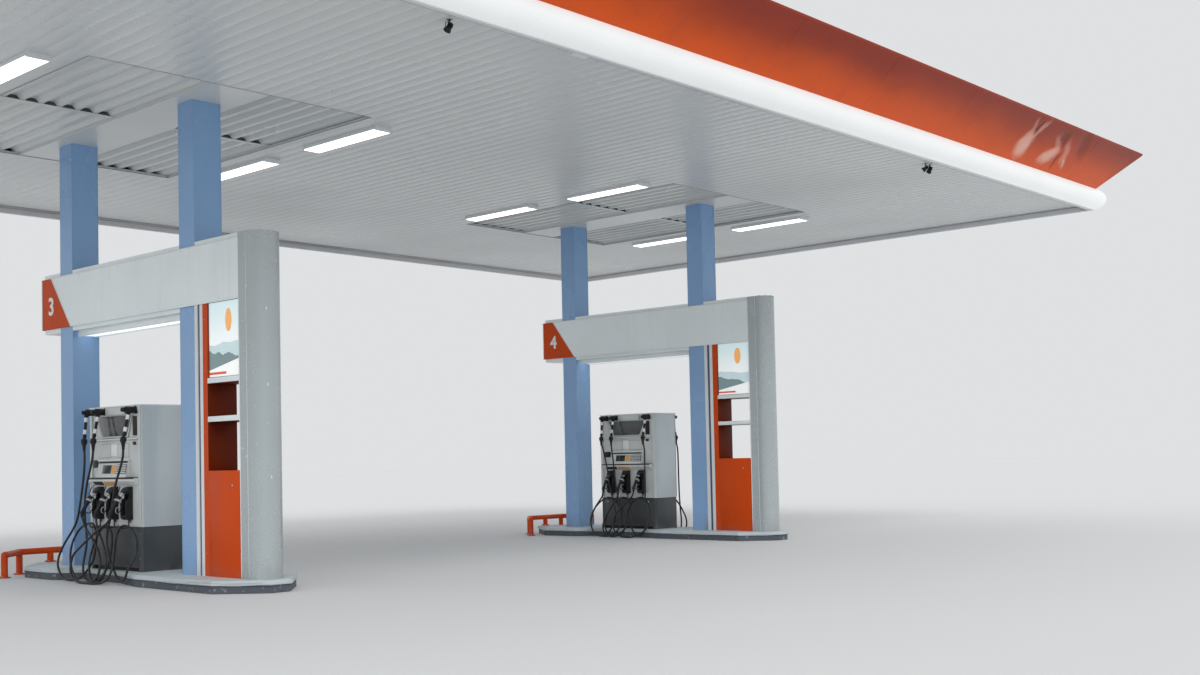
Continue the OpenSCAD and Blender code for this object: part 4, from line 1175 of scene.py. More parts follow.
@dataclass
class Canopy:
    """Ceiling, lit edge, leaning fascia, roof and lamps."""

    half_x: float = 6.235
    half_y: float = 10.09
    ceiling: float = 5.72
    trim: float = 0.03
    recess_x: float = 2.425
    recess_y: float = 1.85
    recess_frame: float = 0.014
    sheet: float = 5.7505
    rib_pitch: float = 0.225
    rib_rise: float = 0.0435
    plank: float = 0.19
    plank_lap: float = 0.004
    plank_deep: float = 0.003
    lamps_x: tuple[float, ...] = (-1.10, 1.375)
    lamp_y: float = 2.26
    lamp_long: float = 0.775
    lamp_wide: float = 0.125
    lamp_low: float = 5.67
    spot_x: float = 5.9
    spot_z: float = 5.648
    bar_low: float = 5.64
    bar_top: float = 6.016
    fascia_foot: float = 0.075
    fascia_reach: float = 0.614
    fascia_top: float = 6.602
    cap_wide: float = 0.134
    joint_half: float = 0.002
    joint_proud: float = 0.0008
    roof: float = 6.112
    roof_half: float = 5.82
    minor_pitch: float = 0.2

    def planks(self, row: Row) -> None:
        """Lays the ceiling boards in runs; those beside a recess are cut.

        Args:
            row: the tree that repeats a board.
        """
        lap, deep, end = self.plank_lap, self.plank_deep, self.plank - self.plank_lap
        section = [(lap, 0.0), (lap + 0.008, -deep), (end - 0.014, -deep), (end - 0.005, -0.4 * deep),
                   (end, 0.0)]
        count = int((2 * self.half_y - 2 * self.trim) / self.plank)
        start = -count * self.plank / 2
        recesses = [(-y - self.recess_y, -y + self.recess_y) for y in ISLANDS.values()]

        def is_cut(k: int) -> bool:
            """Returns whether a board meets a recess."""
            y = start + k * self.plank
            return any(low < y + self.plank and y < high for low, high in recesses)

        wall = self.half_x - self.trim
        for n, (cut, group) in enumerate(groupby(range(count), is_cut)):
            first, *others = group
            spans = [(-wall, -self.recess_x), (self.recess_x, wall)] if cut else [(-wall, wall)]
            outline = [(start + first * self.plank + a, self.ceiling + b) for a, b in section]
            board = Solid(f"soffit_planks_{n}", Finish.SOFFIT)
            for low, high in spans:
                board.prism(outline, Axis.X, low, high)
            row.lay(board, 1 + len(others), (0.0, self.plank, 0.0), seed=3, slack=0.0004)

    def recesses(self, row: Row) -> None:
        """Frames the recesses, laps their sheets over the girder strip and fills the sheets' ribs with dark
        fillers, painted shade in the ribs' hollows.

        Args:
            row: the tree that repeats a filler.
        """
        x, y, w, z = self.recess_x, self.recess_y, self.recess_frame / 2, self.ceiling
        frames = Solid("recess_frames", Finish.EDGE, BOTH_ISLANDS)
        for side in SIDES:
            frames.box((-x - 2 * w, side * y - w, z - 0.007), (x + 2 * w, side * y + w, z + 0.002), 0.002)
            frames.box((side * x - w, -y, z - 0.007), (side * x + w, y, z + 0.002), 0.002)
        frames.ship()
        laps = Solid("recess_laps", Finish.SOFFIT, FOUR_FACES)
        laps.box((0.14, 0.38, self.sheet - 0.0085), (0.20, y, self.sheet - 0.0005), 0.001).ship()
        top = self.sheet + self.rib_rise
        rib = [(0.436, self.sheet), (0.480, top), (0.560, top), (0.604, self.sheet)]
        # Dark fillers in the rib hollows over the lap strip: painted shade where the ribs' insides are dark.
        for face in SIDES:
            faces = tuple(place for place in FOUR_FACES if place.face == face)
            filler = Solid(f"rib_fillers_{face + 1}", Finish.DARK, faces).prism(rib, Axis.X, 0.17, 0.197)
            row.lay(filler, 6, (0.0, face * self.rib_pitch, 0.0), seed=1)

    def ceiling_edge(self) -> None:
        """Lays the angle round the ceiling's edge, in a darker grey that paints the shade beside the light
        bar, with its two cover plates.
        """
        x, y, z = self.half_x - self.trim, self.half_y - self.trim, self.ceiling
        # The angle's darker grey is painted shade between the light bar and the ceiling.
        angle = Solid("ceiling_edge_angle", Finish.EDGE)
        for side in SIDES:
            angle.box((side * x, -y, z - 0.012), (side * (x - 0.19), y, z), 0.002)
            angle.box((-x, side * y, z - 0.012), (x, side * (y - 0.05), z), 0.002)
        angle.ship()
        slope = [(x - 0.004, z - 0.088), (x, z - 0.080), (x - 0.112, z - 0.004), (x - 0.130, z - 0.008)]
        covers = Solid("edge_covers", Finish.WHITE).prism(slope, Axis.Y, -1.90, -0.56)
        covers.box((x - 0.10, -3.29, z - 0.086), (x, -3.07, z - 0.004), 0.004).ship()

    def lamps(self) -> None:
        """Makes the thin sides and the end caps of the ceiling lights."""
        housing = Solid("lamp_housings", Finish.WHITE, BOTH_ISLANDS)
        for x, y in product(self.lamps_x, (-self.lamp_y, self.lamp_y)):
            low, high = x - self.lamp_long, x + self.lamp_long
            for side in SIDES:
                edge = y + side * self.lamp_wide
                housing.box((low - 0.006, edge, self.lamp_low),
                            (high + 0.006, edge + side * 0.004, self.ceiling), 0.001)
            for at in (low, high):
                cap = self.lamp_wide + 0.005
                housing.box((at - 0.010, y - cap, self.lamp_low - 0.013),
                            (at + 0.010, y + cap, self.ceiling), 0.003)
        housing.ship()

    def spots(self) -> None:
        """Makes the small floodlights under the front edge."""
        arms = Solid("spot_arms", Finish.DARK)
        heads = Solid("spot_heads", Finish.BLACK)
        glass = Solid("spot_glasses", Finish.GREY)
        fins = [(0.006 + 0.007 * k + step, radius) for k in range(5)
                for step, radius in ((0.0, 0.022), (0.001, 0.029), (0.003, 0.029), (0.004, 0.022))]
        body = [(0.0, 0.016), (0.003, 0.022), *fins, (0.044, 0.025), (0.082, 0.038), (0.094, 0.040),
                (0.096, 0.036)]
        for y, way in ((4.71, (-0.75, -0.45, -0.6)), (4.84, (-0.65, 0.45, -0.6)), (-4.77, (-0.8, 0.1, -0.6))):
            centre, aim = Vector((self.spot_x, y, self.spot_z)), Vector(way).normalized()
            root = Vector((centre.x, centre.y, self.ceiling))
            arms.lathe(root, root - UP, [(0, 0.028), (0.005, 0.028), (0.008, 0.010), (0.068, 0.009)], 16)
            side = aim.cross(UP).normalized() * 0.040
            arms.tube([centre + side + aim * 0.015, centre + side + UP * 0.036, centre + UP * 0.048,
                       centre - side + UP * 0.036, centre - side + aim * 0.015], 0.0045, 8)
            back = centre - aim * 0.042
            heads.lathe(back, centre + aim, body, 20)
            glass.lathe(back + aim * 0.092, centre + aim, [(0.0, 0.033), (0.005, 0.033), (0.007, 0.022)], 20)
        arms.ship("small_lamps")
        heads.ship()
        glass.ship()

    def band(self, name: str, finish: Finish, profile: Sequence[Point]) -> None:
        """Runs a mitred profile round the canopy.

        Args:
            name: the piece's name.
            finish: its finish.
            profile: closed outline of points (out from the edge, height).
        """
        corners = ((1, 1), (-1, 1), (-1, -1), (1, -1))
        points = [(x * (self.half_x + out), y * (self.half_y + out), z)
                  for x, y in corners for out, z in profile]
        Solid(name, finish).shell(points, skin(len(corners), len(profile), closed=True)).ship()

    def edge(self) -> None:
        """Runs the rails under and over the light bar and the fascia's cap."""
        low, top, foot = self.bar_low, self.bar_top, self.fascia_foot
        tip, z = foot + self.fascia_reach, self.fascia_top
        self.band("bar_lower_rail", Finish.TRIM, [
            (0.0, low - 0.012), (0.030, low - 0.012), (0.036, low + 0.004), (0.016, low + 0.004),
            (0.012, low + 0.014), (0.0, low + 0.014)])
        self.band("bar_upper_rail", Finish.TRIM, [
            (0.0, top - 0.004), (0.040, top - 0.004), (0.046, top + 0.010), (foot + 0.004, top + 0.012),
            (foot, top + 0.002), (0.0, top + 0.002)])
        self.band("fascia_cap", Finish.FASCIA, [
            (tip - self.cap_wide, z + 0.020), (tip - self.cap_wide, z + 0.029), (tip + 0.003, z + 0.029),
            (tip + 0.003, z + 0.012), (tip, z + 0.012), (tip, z + 0.020)])

    def fascia_joints(self, row: Row) -> None:
        """Lays the thin upright joints of the fascia's sheets.

        Args:
            row: the tree that repeats a joint.
        """
        proud = self.joint_proud
        foot, low = self.fascia_foot + 0.012, self.bar_top + 0.012
        tip, high = self.fascia_foot + self.fascia_reach - 0.010, self.fascia_top - 0.01
        line = [(foot, low), (tip, high), (tip + proud, high - proud), (foot + proud, low - proud)]
        runs = (("end", Axis.X, self.half_y, -5.2, 6, (2.08, 0.0, 0.0)),
                ("side", Axis.Y, self.half_x, -8.9, 9, (0.0, 2.225, 0.0)))
        for side in SIDES:
            for label, axis, half, first, count, step in runs:
                joint = Solid(f"fascia_joints_{label}_{side + 1}", Finish.FASCIA)
                outline = [(side * (half + out), z) for out, z in line]
                joint.prism(outline, axis, first - self.joint_half, first + self.joint_half)
                row.lay(joint, count, step, seed=5)

    def roofing(self, row: Row, bolts: Fixings) -> None:
        """Lays the roof sheet's minor ribs and its bolts.

        Args:
            row: the tree that repeats a rib.
            bolts: the larger bolts.
        """
        z = self.roof
        section = [(-0.012, z - 0.001), (0.012, z - 0.001), (0.006, z + 0.009), (-0.006, z + 0.009)]
        rib = Solid("roof_minor_ribs", Finish.ZINC)
        rib.prism([(-9.4 + a, b) for a, b in section], Axis.X, -self.roof_half, self.roof_half)
        row.lay(rib, 95, (0.0, self.minor_pitch, 0.0), seed=2, slack=0.0005)
        lines = (-5.5, -2.75, 0.0, 2.75, 5.5)
        bolts.add([(x, y, z + 0.038) for y in range(-9, 10) for x in lines], UP)

    def build(self, row: Row, screws: Fixings, bolts: Fixings) -> None:
        """Makes every piece of the canopy.

        Args:
            row: the row tree.
            screws: the small screws.
            bolts: the larger bolts.
        """
        self.planks(row)
        self.recesses(row)
        self.ceiling_edge()
        self.lamps()
        self.spots()
        self.edge()
        self.fascia_joints(row)
        self.roofing(row, bolts)
        for y in (-1.80, -1.35, -0.9, 0.9, 1.35, 1.80):
            screws.add([(x, y, self.sheet + 0.0005) for x in (-2.3, -1.2, 0.14, 1.2, 2.3)], -UP, BOTH_ISLANDS)


# Islands


@dataclass
class Islands:
    """Columns, sign header, pylon, cabinet and rail of both islands."""

    columns_x: tuple[float, ...] = (-1.5, 1.5)
    column_joints: tuple[float, ...] = (5.46, 5.33)
    column_x: float = 0.165
    column_y: float = 0.1825
    kerb: float = 0.14
    ceiling: float = 5.72
    header_low: float = 3.29
    header_top: float = 3.975
    face: float = 0.2025
    end: float = 2.16
    number_low: float = 0.80
    number_top: float = 0.26
    number_size: float = 0.33
    pylon_x: float = 2.6
    pylon_nose: float = 2.75
    pylon_top: float = 4.02
    cabinet_face: float = 0.1925
    inner_x: tuple[float, float] = (1.934, 2.598)
    strips_x: tuple[float, ...] = (1.665, 1.775)
    base_top: float = 1.349
    shelves_z: tuple[float, ...] = (1.913, 2.357)
    shelf: float = 0.06
    poster_face: float = 0.1725
    poster_low: float = 2.417
    rail_rear: float = -2.4
    rail_end: float = -1.95
    rail_out: tuple[float, float] = (0.43, 0.83)
    rail_z: float = 0.298

    def columns(self) -> None:
        """Lays the beads at the columns' ends, their corner seams and their joints."""
        beads = Solid("column_beads", Finish.BLUE, BOTH_ISLANDS)
        seams = Solid("column_seams", Finish.BLUE, BOTH_ISLANDS)
        w, d, low, top = self.column_x, self.column_y, self.kerb, self.ceiling
        for x, joint in zip(self.columns_x, self.column_joints):
            for z in (low, top - 0.006):
                beads.box((x - w - 0.005, -d - 0.005, z), (x + w + 0.005, d + 0.005, z + 0.006), 0.002)
            for at in (x - w, x + w):
                seams.box((at - 0.003, -d - 0.0015, low), (at + 0.003, -d + 0.005, top), 0.001)
                seams.box((at - 0.003, d - 0.005, low), (at + 0.003, d + 0.0015, top), 0.001)
            seams.box((x - w - 0.002, -d - 0.002, joint), (x + w + 0.002, d + 0.002, joint + 0.008), 0.001)
        beads.ship()
        seams.ship()

    def header(self, screws: Fixings) -> None:
        """Lays the header's trims, joints and screws and the edges of its number panels.

        Args:
            screws: the small screws.
        """
        low, top, f = self.header_low, self.header_top, self.face
        slant_low, slant_top = self.number_low - self.end, self.number_top - self.end
        slant = [(slant_low - 0.004, low), (slant_low + 0.020, low), (slant_top + 0.020, top),
                 (slant_top - 0.004, top)]
        trims = Solid("header_trims", Finish.WHITE, FOUR_FACES)
        trims.prism(slant, Axis.Y, f - 0.001, f + 0.0035, 0.001)
        trims.box((slant_top, f - 0.004, top - 0.008), (self.pylon_x, f + 0.005, top + 0.006), 0.002).ship()
        lower = Solid("header_lower_trims", Finish.SILVER, FOUR_FACES)
        lower.box((slant_low + 0.02, f - 0.004, low - 0.008), (self.pylon_x, f + 0.006, low + 0.010), 0.003)
        lower.box((-1.3, 0.10, 3.15), (1.3, 0.1225, 3.232), 0.003).ship()
        Solid("header_joints", Finish.TRIM, FOUR_FACES).boxes(
            ((x - 0.0015, f - 0.002, low + 0.01), (x + 0.0015, f + 0.0006, top - 0.008))
            for x in (-0.52, 0.93, 2.30)).ship()
        for x in (-1.1, -0.1, 0.5, 1.4, 2.2):
            screws.add([(x, f, low + 0.03), (x, f, top - 0.03)], (0, 1, 0), FOUR_FACES)
        Solid("number_edges", Finish.WHITE, BOTH_ISLANDS).boxes(
            (((-self.end - 0.002, at - 0.006, low - 0.002), (-self.end + 0.012, at + 0.006, top + 0.002))
             for at in (-f, f)), 0.002).ship()

    def numbers(self) -> None:
        """Sets the island's number on both number panels."""
        middle = (self.header_low + self.header_top) / 2 - 0.05
        for (number, y), face in product(ISLANDS.items(), SIDES):
            name = f"island_number_{number}_{face + 1}"
            data = bpy.data.curves.new(name, "FONT")
            data.body = number
            data.size = self.number_size
            data.extrude = 0.003
            data.bevel_depth = 0.0008
            data.offset = 0.006
            data.align_x, data.align_y = "CENTER", "CENTER"
            made = linked(name, data)
            graph = bpy.context.evaluated_depsgraph_get()
            mesh = bpy.data.meshes.new_from_object(made.evaluated_get(graph))
            bpy.data.objects.remove(made)
            turn = Matrix.Rotation(math.radians(90), 4, "X")
            if face > 0:
                turn = Matrix.Rotation(math.radians(180), 4, "Z") @ turn
            spot = Vector((-self.end + 0.27, y + face * (self.face + 0.003), middle))
            mesh.transform(Matrix.Translation(spot) @ turn)
            ship(dressed(mesh, name, Finish.CARD), Finish.CARD)

    def pylon(self, bolts: Fixings) -> None:
        """Lays the pylon's seams, rings and top bolts.

        Args:
            bolts: the larger bolts.
        """
        x, nose, top, f = self.pylon_x, self.pylon_nose, self.pylon_top, self.face
        seams = Solid("pylon_seams", Finish.WHITE, FOUR_FACES)
        seams.box((x - 0.004, f - 0.010, self.kerb), (x + 0.010, f + 0.003, self.header_low), 0.002)
        seams.box((nose - 0.003, f - 0.003, self.kerb), (nose + 0.003, f + 0.002, top), 0.001).ship()
        rings = Solid("pylon_rings", Finish.SHELL, BOTH_ISLANDS)
        for z, height, out in ((self.kerb, 0.012, 0.004), (1.84, 0.004, 0.0012), (top - 0.014, 0.018, 0.003)):
            r = f + out
            arc = [(nose + r * math.cos(a), r * math.sin(a))
                   for a in (math.radians(d) for d in range(-90, 91, 6))]
            rings.prism([(x, -r), *arc, (x, r)], Axis.Z, z, z + height)
        rings.ship()
        bolts.add([(nose + 0.18 * math.cos(a), 0.18 * math.sin(a), top + 0.004)
                   for a in (math.radians(d) for d in range(-70, 71, 35))], UP, BOTH_ISLANDS)

    def cabinet(self, screws: Fixings) -> None:
        """Lays the cabinet's strips, with painted shade on the recessed blue strip and in the gap beside
        them, its doors, its dark red linings of painted shade, locks, shelf edges and poster frames.

        Args:
            screws: the small screws.
        """
        f, kerb, top = self.cabinet_face, self.kerb, self.header_low
        left, right = self.inner_x
        edge, step = self.strips_x
        # The blue strip is the column blue darkened with painted shade, recessed between the white strips.
        blue = Solid("cabinet_blue_strips", Finish.DEEP_BLUE, FOUR_FACES)
        blue.box((step - 0.048, f - 0.045, kerb), (step, f - 0.012, top), 0.002).ship()
        Solid("strip_grooves", Finish.TRIM, FOUR_FACES).boxes(
            (((x + k - 0.002, f - 0.002, kerb), (x + k + 0.002, f + 0.0015, top))
             for x in self.strips_x for k in (0.014, 0.046)), 0.0008).ship()
        # A dark piece in the gap beside the strips: painted shade.
        gap = Solid("strip_gaps", Finish.DARK, FOUR_FACES)
        gap.box((edge + 0.0005, f - 0.06, kerb), (edge + 0.011, f - 0.004, top), 0.001).ship()
        doors = Solid("cabinet_doors", Finish.ORANGE, FOUR_FACES)
        doors.box((left + 0.002, f - 0.002, kerb + 0.012), (right - 0.002, f + 0.0025, self.base_top), 0.002)
        doors.ship()
        # Dark red linings inside the compartments: painted shade on the orange cabinet.
        lining = Solid("compartment_linings", Finish.LINING, BOTH_ISLANDS)
        d, (first, second) = f - 0.0015, self.shelves_z
        for low, high in ((self.base_top + 0.002, first), (first + self.shelf, second)):
            lining.box((left - 0.0025, -d, low), (left, d, high), 0.0005)
            lining.box((right - 0.0005, -d, low), (right + 0.0025, d, high), 0.0005)
            lining.box((left, -d, high - 0.0025), (right - 0.0005, d, high + 0.001), 0.0005)
        lining.ship()
        lock = Solid("cabinet_locks", Finish.STEEL, FOUR_FACES)
        lock.lathe((2.43, f, 1.18), (2.43, f + 1, 1.18),
                   [(0, 0.016), (0.007, 0.016), (0.009, 0.012), (0.009, 0.004)], 20).ship()
        Solid("shelf_edges", Finish.SILVER, FOUR_FACES).boxes(
            (((left, f - 0.012, z - 0.001), (right, f + 0.003, z + self.shelf + 0.001))
             for z in self.shelves_z), 0.002).ship()
        a, b, low, p, bar = left + 0.003, right - 0.003, self.poster_low, self.poster_face, 0.008
        bars = ((a, low, a + bar, top), (b - bar, low, b, top), (a, low, b, low + bar),
                (a, top - bar, b, top))
        Solid("poster_frames", Finish.DARK, FOUR_FACES).boxes(
            (((x0, p - 0.004, z0), (x1, p + 0.004, z1)) for x0, z0, x1, z1 in bars), 0.001).ship()
        screws.add([(1.885, f, z) for z in (0.4, 1.1, 1.8, 2.5, 3.1)], (0, 1, 0), FOUR_FACES)

    def rail(self, bolts: Fixings) -> None:
        """Lays the rail's flanges with their bolts, and its welds.

        Args:
            bolts: the larger bolts.
        """
        feet = Solid("rail_feet", Finish.RAIL, BOTH_ISLANDS)
        end, rear, (narrow, wide) = self.rail_end, self.rail_rear, self.rail_out
        legs = ((end, wide, 0.0), (end, -wide, 0.0), (rear, narrow, 0.0), (rear, -narrow, 0.0),
                (rear, 0.0, self.kerb))
        for x, y, z in legs:
            feet.lathe((x, y, z), (x, y, 9), [(0, 0.075), (0.010, 0.075), (0.012, 0.050), (0.020, 0.046)], 20)
            bolts.add([(x + 0.058 * math.cos(a), y + 0.058 * math.sin(a), z + 0.010)
                       for a in (math.radians(d) for d in range(45, 360, 90))], UP, BOTH_ISLANDS)
        weld = [(0, 0.042), (0.004, 0.0455), (0.009, 0.0455), (0.013, 0.042)]
        for side in (1, -1):
            start, stop = Vector((end, side * wide, self.rail_z)), Vector((rear, side * narrow, self.rail_z))
            way = (stop - start).normalized()
            for foot, aim in ((start, way), (stop, -way)):
                feet.lathe(foot + aim * 0.036, foot + aim, weld, 20)
        feet.ship()

    def build(self, screws: Fixings, bolts: Fixings) -> None:
        """Makes every piece of the islands but the dispensers'.

        Args:
            screws: the small screws.
            bolts: the larger bolts.
        """
        self.columns()
        self.header(screws)
        self.numbers()
        self.pylon(bolts)
        self.cabinet(screws)
        self.rail(bolts)


# Dispensers


@dataclass
class Dispensers:
    """Faces, outlets, boots and nozzles of both dispensers."""

    rear: float = -0.665
    front: float = 0.605
    half: float = 0.30
    plate: float = 0.285
    inner: float = 0.283
    top: float = 2.17
    base_top: float = 0.685
    console_low: tuple[float, float] = (0.36, 1.29)
    console_high: tuple[float, float] = (0.315, 1.50)
    outlets: tuple[float, ...] = (-0.5, -0.265, 0.48)
    drops: tuple[float, ...] = (0.425, 0.390, 0.385)
    outlet_z: float = 2.11
    coupling: tuple[float, float] = (0.46, 1.74)
    boots: tuple[float, ...] = (-0.395, -0.04, 0.315)
    boot_half: float = 0.065
    boot_wall: float = 0.010
    inlet: tuple[float, float] = (0.547, 0.808)
    neck_z: float = 0.86
    spout_tip: tuple[float, float] = (0.29, 1.129)
    nozzle_lean: float = math.radians(30)

    def casing(self, screws: Fixings) -> None:
        """Lays the lid, posts, end panels, lower panels, slots, locks and screws of the casing.

        Args:
            screws: the small screws.
        """
        rear, front, half, top, base = self.rear, self.front, self.half, self.top, self.base_top
        lid = Solid("dispenser_lids", Finish.WHITE, BOTH_ISLANDS)
        lid.box((rear - 0.004, -half - 0.004, top - 0.010), (front + 0.004, half + 0.004, top + 0.006), 0.003)
        lid.ship()
        Solid("corner_posts", Finish.PANEL, FOUR_FACES).boxes(
            (((x, half - 0.001, base + 0.004), (x + 0.057, half + 0.002, top - 0.012))
             for x in (rear + 0.005, front - 0.062)), 0.0015).ship()
        slot = Solid("plinth_slots", Finish.BLACK, FOUR_FACES)
        slot.box((rear + 0.065, 0.256, 0.141), (front - 0.065, 0.262, 0.190), 0.001).ship()
        self.ends("dispenser_end_panels", Finish.CASE, base + 0.012, top - 0.03)
        low = Solid("dispenser_low_panels", Finish.BASE, FOUR_FACES)
        low.box((rear + 0.075, half - 0.001, 0.205), (front - 0.075, half + 0.004, base - 0.015), 0.003)
        low.ship()
        self.ends("dispenser_low_ends", Finish.BASE, 0.16, base - 0.012)
        locks = Solid("dispenser_locks", Finish.STEEL, FOUR_FACES)
        for x in (rear + 0.16, front - 0.16):
            locks.lathe((x, half + 0.004, 0.62), (x, 9, 0.62),
                        [(0, 0.013), (0.004, 0.013), (0.005, 0.009)], 16)
        locks.ship()
        for x in (rear + 0.033, front - 0.033):
            screws.add([(x, half, z) for z in (0.30, 0.60, 0.80, 1.25, 1.70, 2.10)], (0, 1, 0), FOUR_FACES)

    def ends(self, name: str, finish: Finish, low: float, high: float) -> None:
        """Lays a raised panel on both ends of the casing.

        Args:
            name: the piece's name.
            finish: its finish.
            low: its foot.
            high: its top.
        """
        y = self.half - 0.045
        Solid(name, finish, BOTH_ISLANDS).boxes(
            (((x - 0.003, -y, low), (x + 0.003, y, high)) for x in (self.rear, self.front)), 0.002).ship()

    def display(self) -> None:
        """Makes the window, its side strip, the head plate and the label panel."""
        p, plate, half = self.plate + 0.015, self.plate, self.half
        glass = Solid("display_windows", Finish.GLASS, FOUR_FACES)
        pane = [(-0.325, 1.800), (0.265, 1.800), (0.392, 2.050), (-0.452, 2.050)]
        glass.prism(pane, Axis.Y, p - 0.002, p + 0.004, 0.002).ship()
        dark = Solid("side_windows", Finish.BLACK, FOUR_FACES)
        dark.box((0.402, plate - 0.002, 1.800), (0.492, plate + 0.010, 2.036), 0.003)
        dark.box((0.400, plate - 0.002, 1.684), (0.470, plate + 0.008, 1.722), 0.003).ship()
        bezel = Solid("display_bezels", Finish.PANEL, FOUR_FACES)
        corners = [(-0.352, 1.786), (0.292, 1.786), (0.404, 2.064), (-0.474, 2.064)]
        for (x0, z0), (x1, z1) in zip(corners, [*corners[1:], corners[0]]):
            bezel.tube([(x0, p + 0.002, z0), (x1, p + 0.002, z1)], 0.006, 8)
        bezel.box((-0.21, half - 0.002, 2.062), (0.27, half + 0.028, 2.152), 0.006).ship()
        label = Solid("label_panels", Finish.PANEL, FOUR_FACES)
        fields = ((-0.410, -0.150), (0.018, 0.296))
        label.boxes((((low, plate - 0.002, 1.540), (high, plate + 0.006, 1.700))
                     for low, high in fields), 0.003)
        label.box((-0.19, half + 0.026, 2.074), (0.25, half + 0.0305, 2.140), 0.002).ship()
        card = Solid("white_cards", Finish.CARD, FOUR_FACES)
        card.box((-0.137, plate - 0.002, 1.556), (0.005, plate + 0.007, 1.700), 0.001).ship()
        Solid("label_outlines", Finish.EDGE, FOUR_FACES).boxes(
            (((low - 0.006, plate - 0.002, 1.534), (high + 0.006, plate + 0.003, 1.706))
             for low, high in fields), 0.001).ship()

    def slab(self, solid: Solid, x: Point, z: Point, deep: float) -> None:
        """Lays a thin slab on the console's leaning face.

        Args:
            solid: the solid that takes it.
            x: where it starts and ends.
            z: its lower and upper edge.
            deep: how far it stands out.
        """
        (out_low, low), (out_high, high) = self.console_low, self.console_high
        back, proud = ([(out_low + (out_high - out_low) * ((at - low) / (high - low)) + out, at) for at in z]
                       for out in (-0.003, deep))
        solid.prism([back[0], proud[0], proud[1], back[1]], Axis.X, *x, 0.0012)

    def console(self, row: Row) -> None:
        """Makes the console's screen, strips, keys, slot and ledges, with dark lines of painted shade under
        the hood's lip and over the ledge.

        Args:
            row: the tree that repeats the keys.
        """
        plate, half = self.plate, self.half
        dark = Solid("console_screens", Finish.SCREEN, FOUR_FACES)
        self.slab(dark, (-0.262, -0.048), (1.337, 1.443), 0.003)
        dark.ship()
        warm = Solid("console_strips", Finish.AMBER, FOUR_FACES)
        self.slab(warm, (-0.036, 0.056), (1.335, 1.445), 0.0025)
        warm.ship()
        field = Solid("console_fields", Finish.BLACK, FOUR_FACES)
        self.slab(field, (0.070, 0.325), (1.333, 1.449), 0.002)
        # A dark line of painted shade under the hood's lip.
        self.slab(field, (-0.385, 0.325), (1.466, 1.488), 0.002)
        # A dark line of painted shade between the console and the ledge.
        field.box((-0.592, half, 1.268), (0.532, 0.3625, 1.290), 0.002).ship()
        for n, place in enumerate(FOUR_FACES):
            keys = Solid(f"console_keys_{n}", Finish.PANEL, (place,))
            for z in (1.341, 1.368, 1.395, 1.422):
                self.slab(keys, (0.080, 0.112), (z, z + 0.019), 0.006)
            row.lay(keys, 6, (0.040, 0.0, 0.0), seed=9)
        slot = Solid("receipt_slots", Finish.BLACK, FOUR_FACES)
        slot.box((-0.551, plate - 0.002, 1.413), (-0.423, plate + 0.030, 1.510), 0.006)
        slot.box((-0.541, plate + 0.024, 1.455), (-0.433, plate + 0.036, 1.468), 0.002).ship()
        hood = Solid("ledge_lips", Finish.WHITE, FOUR_FACES)
        hood.box((-0.400, plate - 0.002, 1.494), (0.340, 0.334, 1.512), 0.004)
        hood.box((-0.598, half, 1.752), (0.538, half + 0.020, 1.766), 0.004).ship()
        slope = [(0.331, 1.199), (0.3325, 1.1975), (0.3625, 1.2385), (0.361, 1.2405)]
        for finish, low, high in ((Finish.BLACK, -0.470, -0.240), (Finish.AMBER, -0.205, 0.060)):
            plates = Solid(f"hose_plates_{finish.name.lower()}", finish, FOUR_FACES)
            plates.prism(slope, Axis.X, low, high).ship()

    def swivels(self) -> None:
        """Makes the outlet arms, breakaways and couplings in place of the plain ones."""
        arms = Solid("outlet_arms", Finish.BLACK, FOUR_FACES)
        white = Solid("breakaway_bands", Finish.CARD, FOUR_FACES)
        arm = [(-0.015, 0.048), (0.008, 0.048), (0.012, 0.036), (0.028, 0.034), (0.032, 0.040),
               (0.052, 0.042), (0.056, 0.036), (0.066, 0.036), (0.070, 0.042), (0.124, 0.042),
               (0.138, 0.036), (0.142, 0.024), (0.160, 0.024), (0.164, 0.028), (0.178, 0.028),
               (0.184, 0.020), (0.188, 0.006)]
        coupling = [(0.0, 0.034), (0.004, 0.038), (0.020, 0.038), (0.024, 0.031), (0.036, 0.030),
                    (0.040, 0.024), (0.060, 0.0215), (0.100, 0.0175), (0.124, 0.0150)]
        for x, drop in zip(self.outlets, self.drops):
            arms.lathe((x, self.half, self.outlet_z), (x, 9, self.outlet_z), arm)
            top, foot = Vector((x, drop, self.outlet_z - 0.020)), Vector((x, *self.coupling))
            n, way = (foot - top).length, (foot - top).normalized()
            arms.lathe(top, foot, [
                (0.0, 0.028), (0.035, 0.028), (0.040, 0.019), (n - 0.095, 0.0175), (n - 0.090, 0.023),
                (n - 0.066, 0.025), (n - 0.062, 0.020), (n - 0.040, 0.020), (n - 0.036, 0.034),
                (n - 0.020, 0.038), (n, 0.038), (n + 0.012, 0.034)])
            for start, stop in ((0.042, 0.102), (0.196, 0.252)):
                w = stop - start
                white.lathe(top + way * start, foot,
                            [(0, 0.0185), (0.003, 0.0215), (w - 0.003, 0.0215), (w, 0.0185)])
            arms.lathe(foot + UP * 0.004, foot - UP, coupling)
        arms.ship("hose_outlets_3", "hose_outlets_4")
        white.ship()

